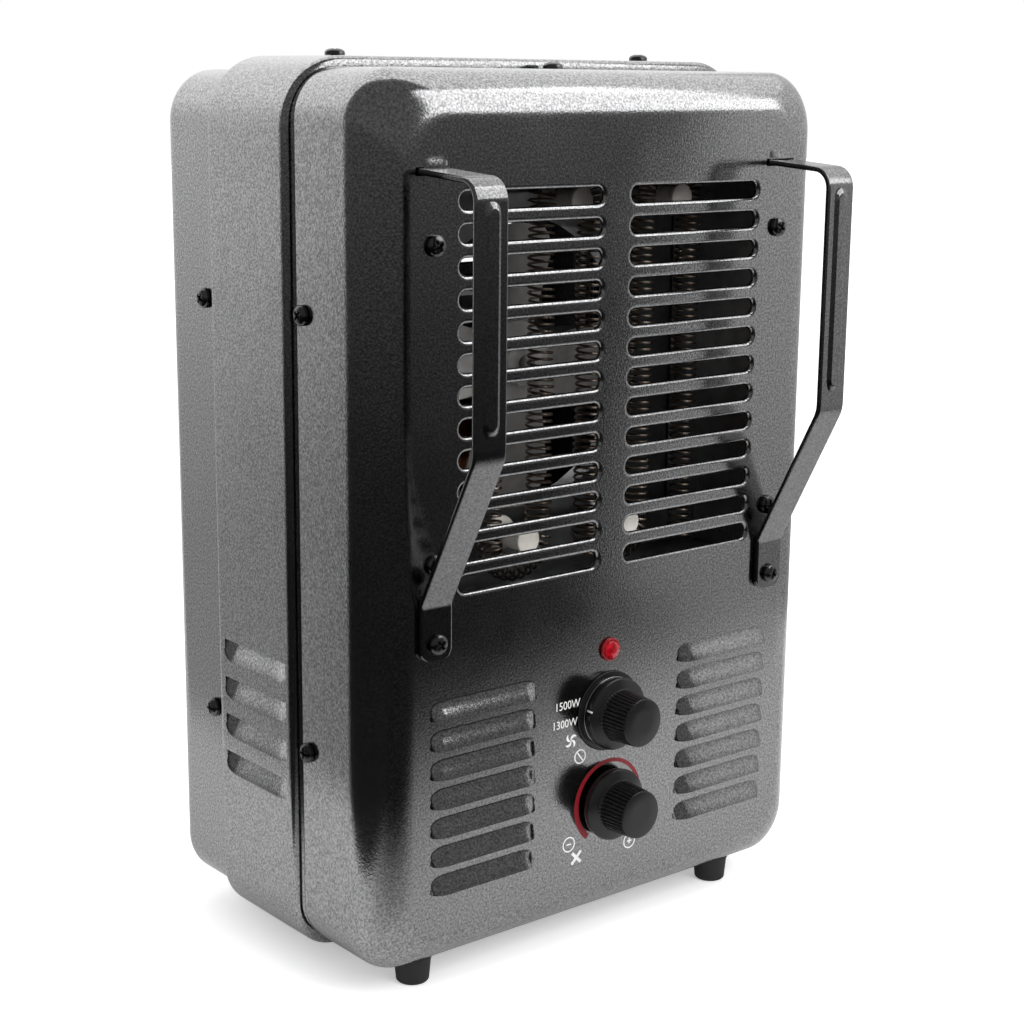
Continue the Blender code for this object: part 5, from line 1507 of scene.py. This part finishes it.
# ---- studio ------------------------------------------------------------------------------------
@dataclass
class Studio:
    """Floor, cards, lamps, world and camera.

    A Span holds where a value starts and ends, then the brightness at its start and at its end.
    """

    camera_place: tuple[float, float, float] = (-0.46359, -0.50759, 0.32003)
    forward: tuple[float, float, float] = (0.61922, 0.75459, -0.21716)
    right: tuple[float, float, float] = (0.77436, -0.63267, 0.00965)
    up: tuple[float, float, float] = (0.13011, 0.17413, 0.97609)
    lens: float = 68.174
    sweep: tuple[float, float, float] = (0.666, 0.746, 0.0)
    ambient: float = 1.15
    sheet: tuple[tuple[float, float], ...] = ((-225.0, -600.0), (1500.0, -900.0), (-225.0, 1500.0), (1500.0, 1500.0))
    panel_radius: float = 504.0
    panel_turn: tuple[float, float] = (55.0, 138.0)
    panel_lean: float = 165.0
    panel_height: float = 620.0
    panel_glow: tuple[float, float] = (0.40, 1.0)
    sheet_slant: float = 0.4
    sheet_front: Span = (-0.29, -0.11, 0.0, 0.55)
    sheet_rear: Span = (-0.10, 0.0, 0.0, 0.17)
    wall_low: Span = (-0.25, 0.0, 0.48, 0.85)
    wall_high: Span = (0.0, 0.5, 0.0, 0.40)
    wall_edge: Span = (0.185, 0.245, 0.0, 1.0)
    dark_sector: Span = (-0.24, 0.10, 0.018, 0.17)
    floor_half: float = 6000.0
    floor_glow: float = 0.34

    def build(self) -> None:
        """Set the camera, the floor, the world and the lamps."""
        self.camera()
        self.floor()
        self.paper()
        self.panel()
        self.world()
        self.lamp("band", (0.145, -0.229, 0.454), (-0.01, -0.045, 0.318), 0.24, 0.40, True)
        self.lamp("fill", (0.10, -1.0, 0.80), (0.0, 0.0, 0.16), 0.5, 7.0, False)

    def camera(self) -> None:
        """Place the camera from its axes; depth is counted from the face's plane."""
        data = bpy.data.cameras.new("camera")
        data.lens = self.lens
        data.sensor_width = 36.0
        data.clip_start = 0.01
        item = bpy.data.objects.new("camera", data)
        bpy.context.scene.collection.objects.link(item)
        place = Vector(self.camera_place)
        place.y += FACE_Y
        rows = [[self.right[i], self.up[i], -self.forward[i], place[i]] for i in range(3)]
        item.matrix_world = Matrix([*rows, (0.0, 0.0, 0.0, 1.0)])
        bpy.context.scene.camera = item

    def floor(self) -> None:
        """A wide pale floor at the level of the feet."""
        plan = MeshPlan()
        ends = (-self.floor_half, self.floor_half)
        plan.grid(np.array([[(x, y, -0.05) for x in ends] for y in ends]))
        item = plan.piece("floor")
        material, shader = fresh_material("floor_paper")
        shader.inputs["Base Color"].default_value = (0.9, 0.9, 0.9, 1.0)
        shader.inputs["Roughness"].default_value = 0.9
        shader.inputs["Emission Color"].default_value = (1.0, 1.0, 1.0, 1.0)
        shader.inputs["Emission Strength"].default_value = self.floor_glow
        item.data.materials.append(material)
        item.visible_glossy = False

    def card(self, name: str, grid: Array, material: bpy.types.Material) -> None:
        """Make a studio card that only glossy surfaces see."""
        plan = MeshPlan()
        plan.grid(grid)
        item = plan.piece(name)
        item.data.materials.append(material)
        item.visible_camera = False
        item.visible_diffuse = False
        item.visible_shadow = False
        item.visible_transmission = False

    def paper(self) -> None:
        """The white sheet that the heater stands on, as glossy surfaces see it: it falls off to the left front."""
        corners = np.array([(x, y, -0.03) for x, y in self.sheet]).reshape(2, 2, 3)
        material, shader = fresh_material("sheet_paper")
        shader.inputs["Roughness"].default_value = 1.0
        desk = Desk(material.node_tree)
        place = desk.node("ShaderNodeSeparateXYZ", {0: desk.node("ShaderNodeTexCoord").outputs["Object"]})
        slant = desk.maths("ADD", place.outputs["Y"], desk.maths("MULTIPLY", place.outputs["X"], self.sheet_slant))
        front = desk.ramp(slant, *self.sheet_front, "SMOOTHSTEP")
        grey = desk.maths("ADD", front, desk.ramp(place.outputs["Y"], *self.sheet_rear, "SMOOTHSTEP"))
        shade = desk.node("ShaderNodeCombineColor", {name: grey for name in ("Red", "Green", "Blue")})
        material.node_tree.links.new(shade.outputs[0], shader.inputs["Base Color"])
        self.card("sheet", corners, material)

    def panel(self) -> None:
        """A curved white panel at the right, brighter towards its top.

        Its points stand on a circle round the face's middle, between two azimuths counted from straight back.
        """
        turn = np.radians(np.linspace(*self.panel_turn, 40))
        foot = np.stack([self.panel_radius * np.sin(turn), self.panel_radius * np.cos(turn), 0 * turn], -1)
        lean = np.stack([self.panel_lean * smooth(np.linspace(-1, 1, 40)), 0 * turn, 0 * turn + self.panel_height], -1)
        material, _ = fresh_material("panel_glow")
        tree = material.node_tree
        tree.nodes.clear()
        desk = Desk(tree)
        height = desk.node("ShaderNodeSeparateXYZ", {0: desk.node("ShaderNodeTexCoord").outputs["Object"]}).outputs["Z"]
        glow = desk.ramp(height, 0.0, self.panel_height * MM, *self.panel_glow)
        emission = desk.node("ShaderNodeEmission", {"Strength": glow})
        output = desk.node("ShaderNodeOutputMaterial")
        tree.links.new(emission.outputs[0], output.inputs["Surface"])
        self.card("panel", np.stack([foot, foot + lean]), material)

    def lamp(self, name: str, place: Sequence[float], target: Sequence[float], size: float, power: float,
             mirrored: bool) -> None:
        """Add a square soft light aimed at a point.

        Args:
            name: the lamp's name.
            place: where it hangs, in metres.
            target: the point that it faces.
            size: the length of its side, in metres.
            power: its power in watts.
            mirrored: whether glossy surfaces show it.
        """
        data = bpy.data.lights.new(name, "AREA")
        data.size = size
        data.energy = power
        item = bpy.data.objects.new(name, data)
        item.location = place
        aim = Vector(target) - Vector(place)
        item.rotation_euler = aim.to_track_quat("-Z", "Y").to_euler()
        item.visible_camera = False
        item.visible_glossy = mirrored
        bpy.context.scene.collection.objects.link(item)

    def world(self) -> None:
        """White to the camera, even to matt surfaces, and to glossy ones a wall with a dark sector at the left front.

        Side is the cosine of the azimuth from the middle of the wall, whose brightness rises with height.
        """
        world = bpy.data.worlds.new("studio")
        bpy.context.scene.world = world
        world.use_nodes = True
        tree = world.node_tree
        desk = Desk(tree)
        way = desk.node("ShaderNodeTexCoord").outputs["Generated"]
        level = desk.node("ShaderNodeVectorMath", {0: way, 1: (1.0, 1.0, 0.0)}, operation="MULTIPLY").outputs[0]
        level = desk.node("ShaderNodeVectorMath", {0: level}, operation="NORMALIZE").outputs[0]
        side = desk.node("ShaderNodeVectorMath", {0: level, 1: self.sweep}, operation="DOT_PRODUCT").outputs["Value"]
        height = desk.node("ShaderNodeSeparateXYZ", {0: way}).outputs["Z"]
        wall = desk.ramp(height, *self.wall_low, "SMOOTHSTEP")
        wall = desk.maths("ADD", wall, desk.ramp(height, *self.wall_high, "SMOOTHSTEP"))
        wall = desk.maths("MULTIPLY", wall, desk.ramp(side, *self.wall_edge, "SMOOTHSTEP"))
        dark = desk.ramp(height, *self.dark_sector, "SMOOTHSTEP")
        room = desk.maths("ADD", wall, dark)
        path = desk.node("ShaderNodeLightPath")
        mix = desk.node("ShaderNodeMix", {"Factor": path.outputs["Is Diffuse Ray"], "A": room, "B": self.ambient},
                        data_type="FLOAT")
        mix = desk.node("ShaderNodeMix", {"Factor": path.outputs["Is Camera Ray"], "A": mix.outputs["Result"],
                                          "B": 1.0}, data_type="FLOAT")
        back = tree.nodes["Background"]
        tree.links.new(mix.outputs["Result"], back.inputs["Strength"])
        back.inputs["Color"].default_value = (1, 1, 1, 1)
        bpy.context.scene.view_settings.view_transform = "Standard"


def main() -> None:
    """Build every part of the heater's looks and report it."""
    logging.basicConfig(level=logging.INFO, format="%(name)s: %(message)s")
    Studio().build()
    FrontShell().build()
    MidShell().build()
    RearCover().build()
    for side in Side:
        Handle(side).build()
    Fastenings().build()
    Feet().build()
    Grommet().build()
    Knob("selector_knob", "selector", 92.3, 166.0).build()
    Knob("thermostat_knob", "thermostat_dial", 56.9, -57.7).build()
    Bezel().build()
    Jewel().build()
    DialPrint().build()
    Element(Side.LEFT, -40.5).build()
    Element(Side.RIGHT, 31.3).build()
    Insulators().build()
    Fan().build()
    dress_packed()


if __name__ == "__main__":
    main()
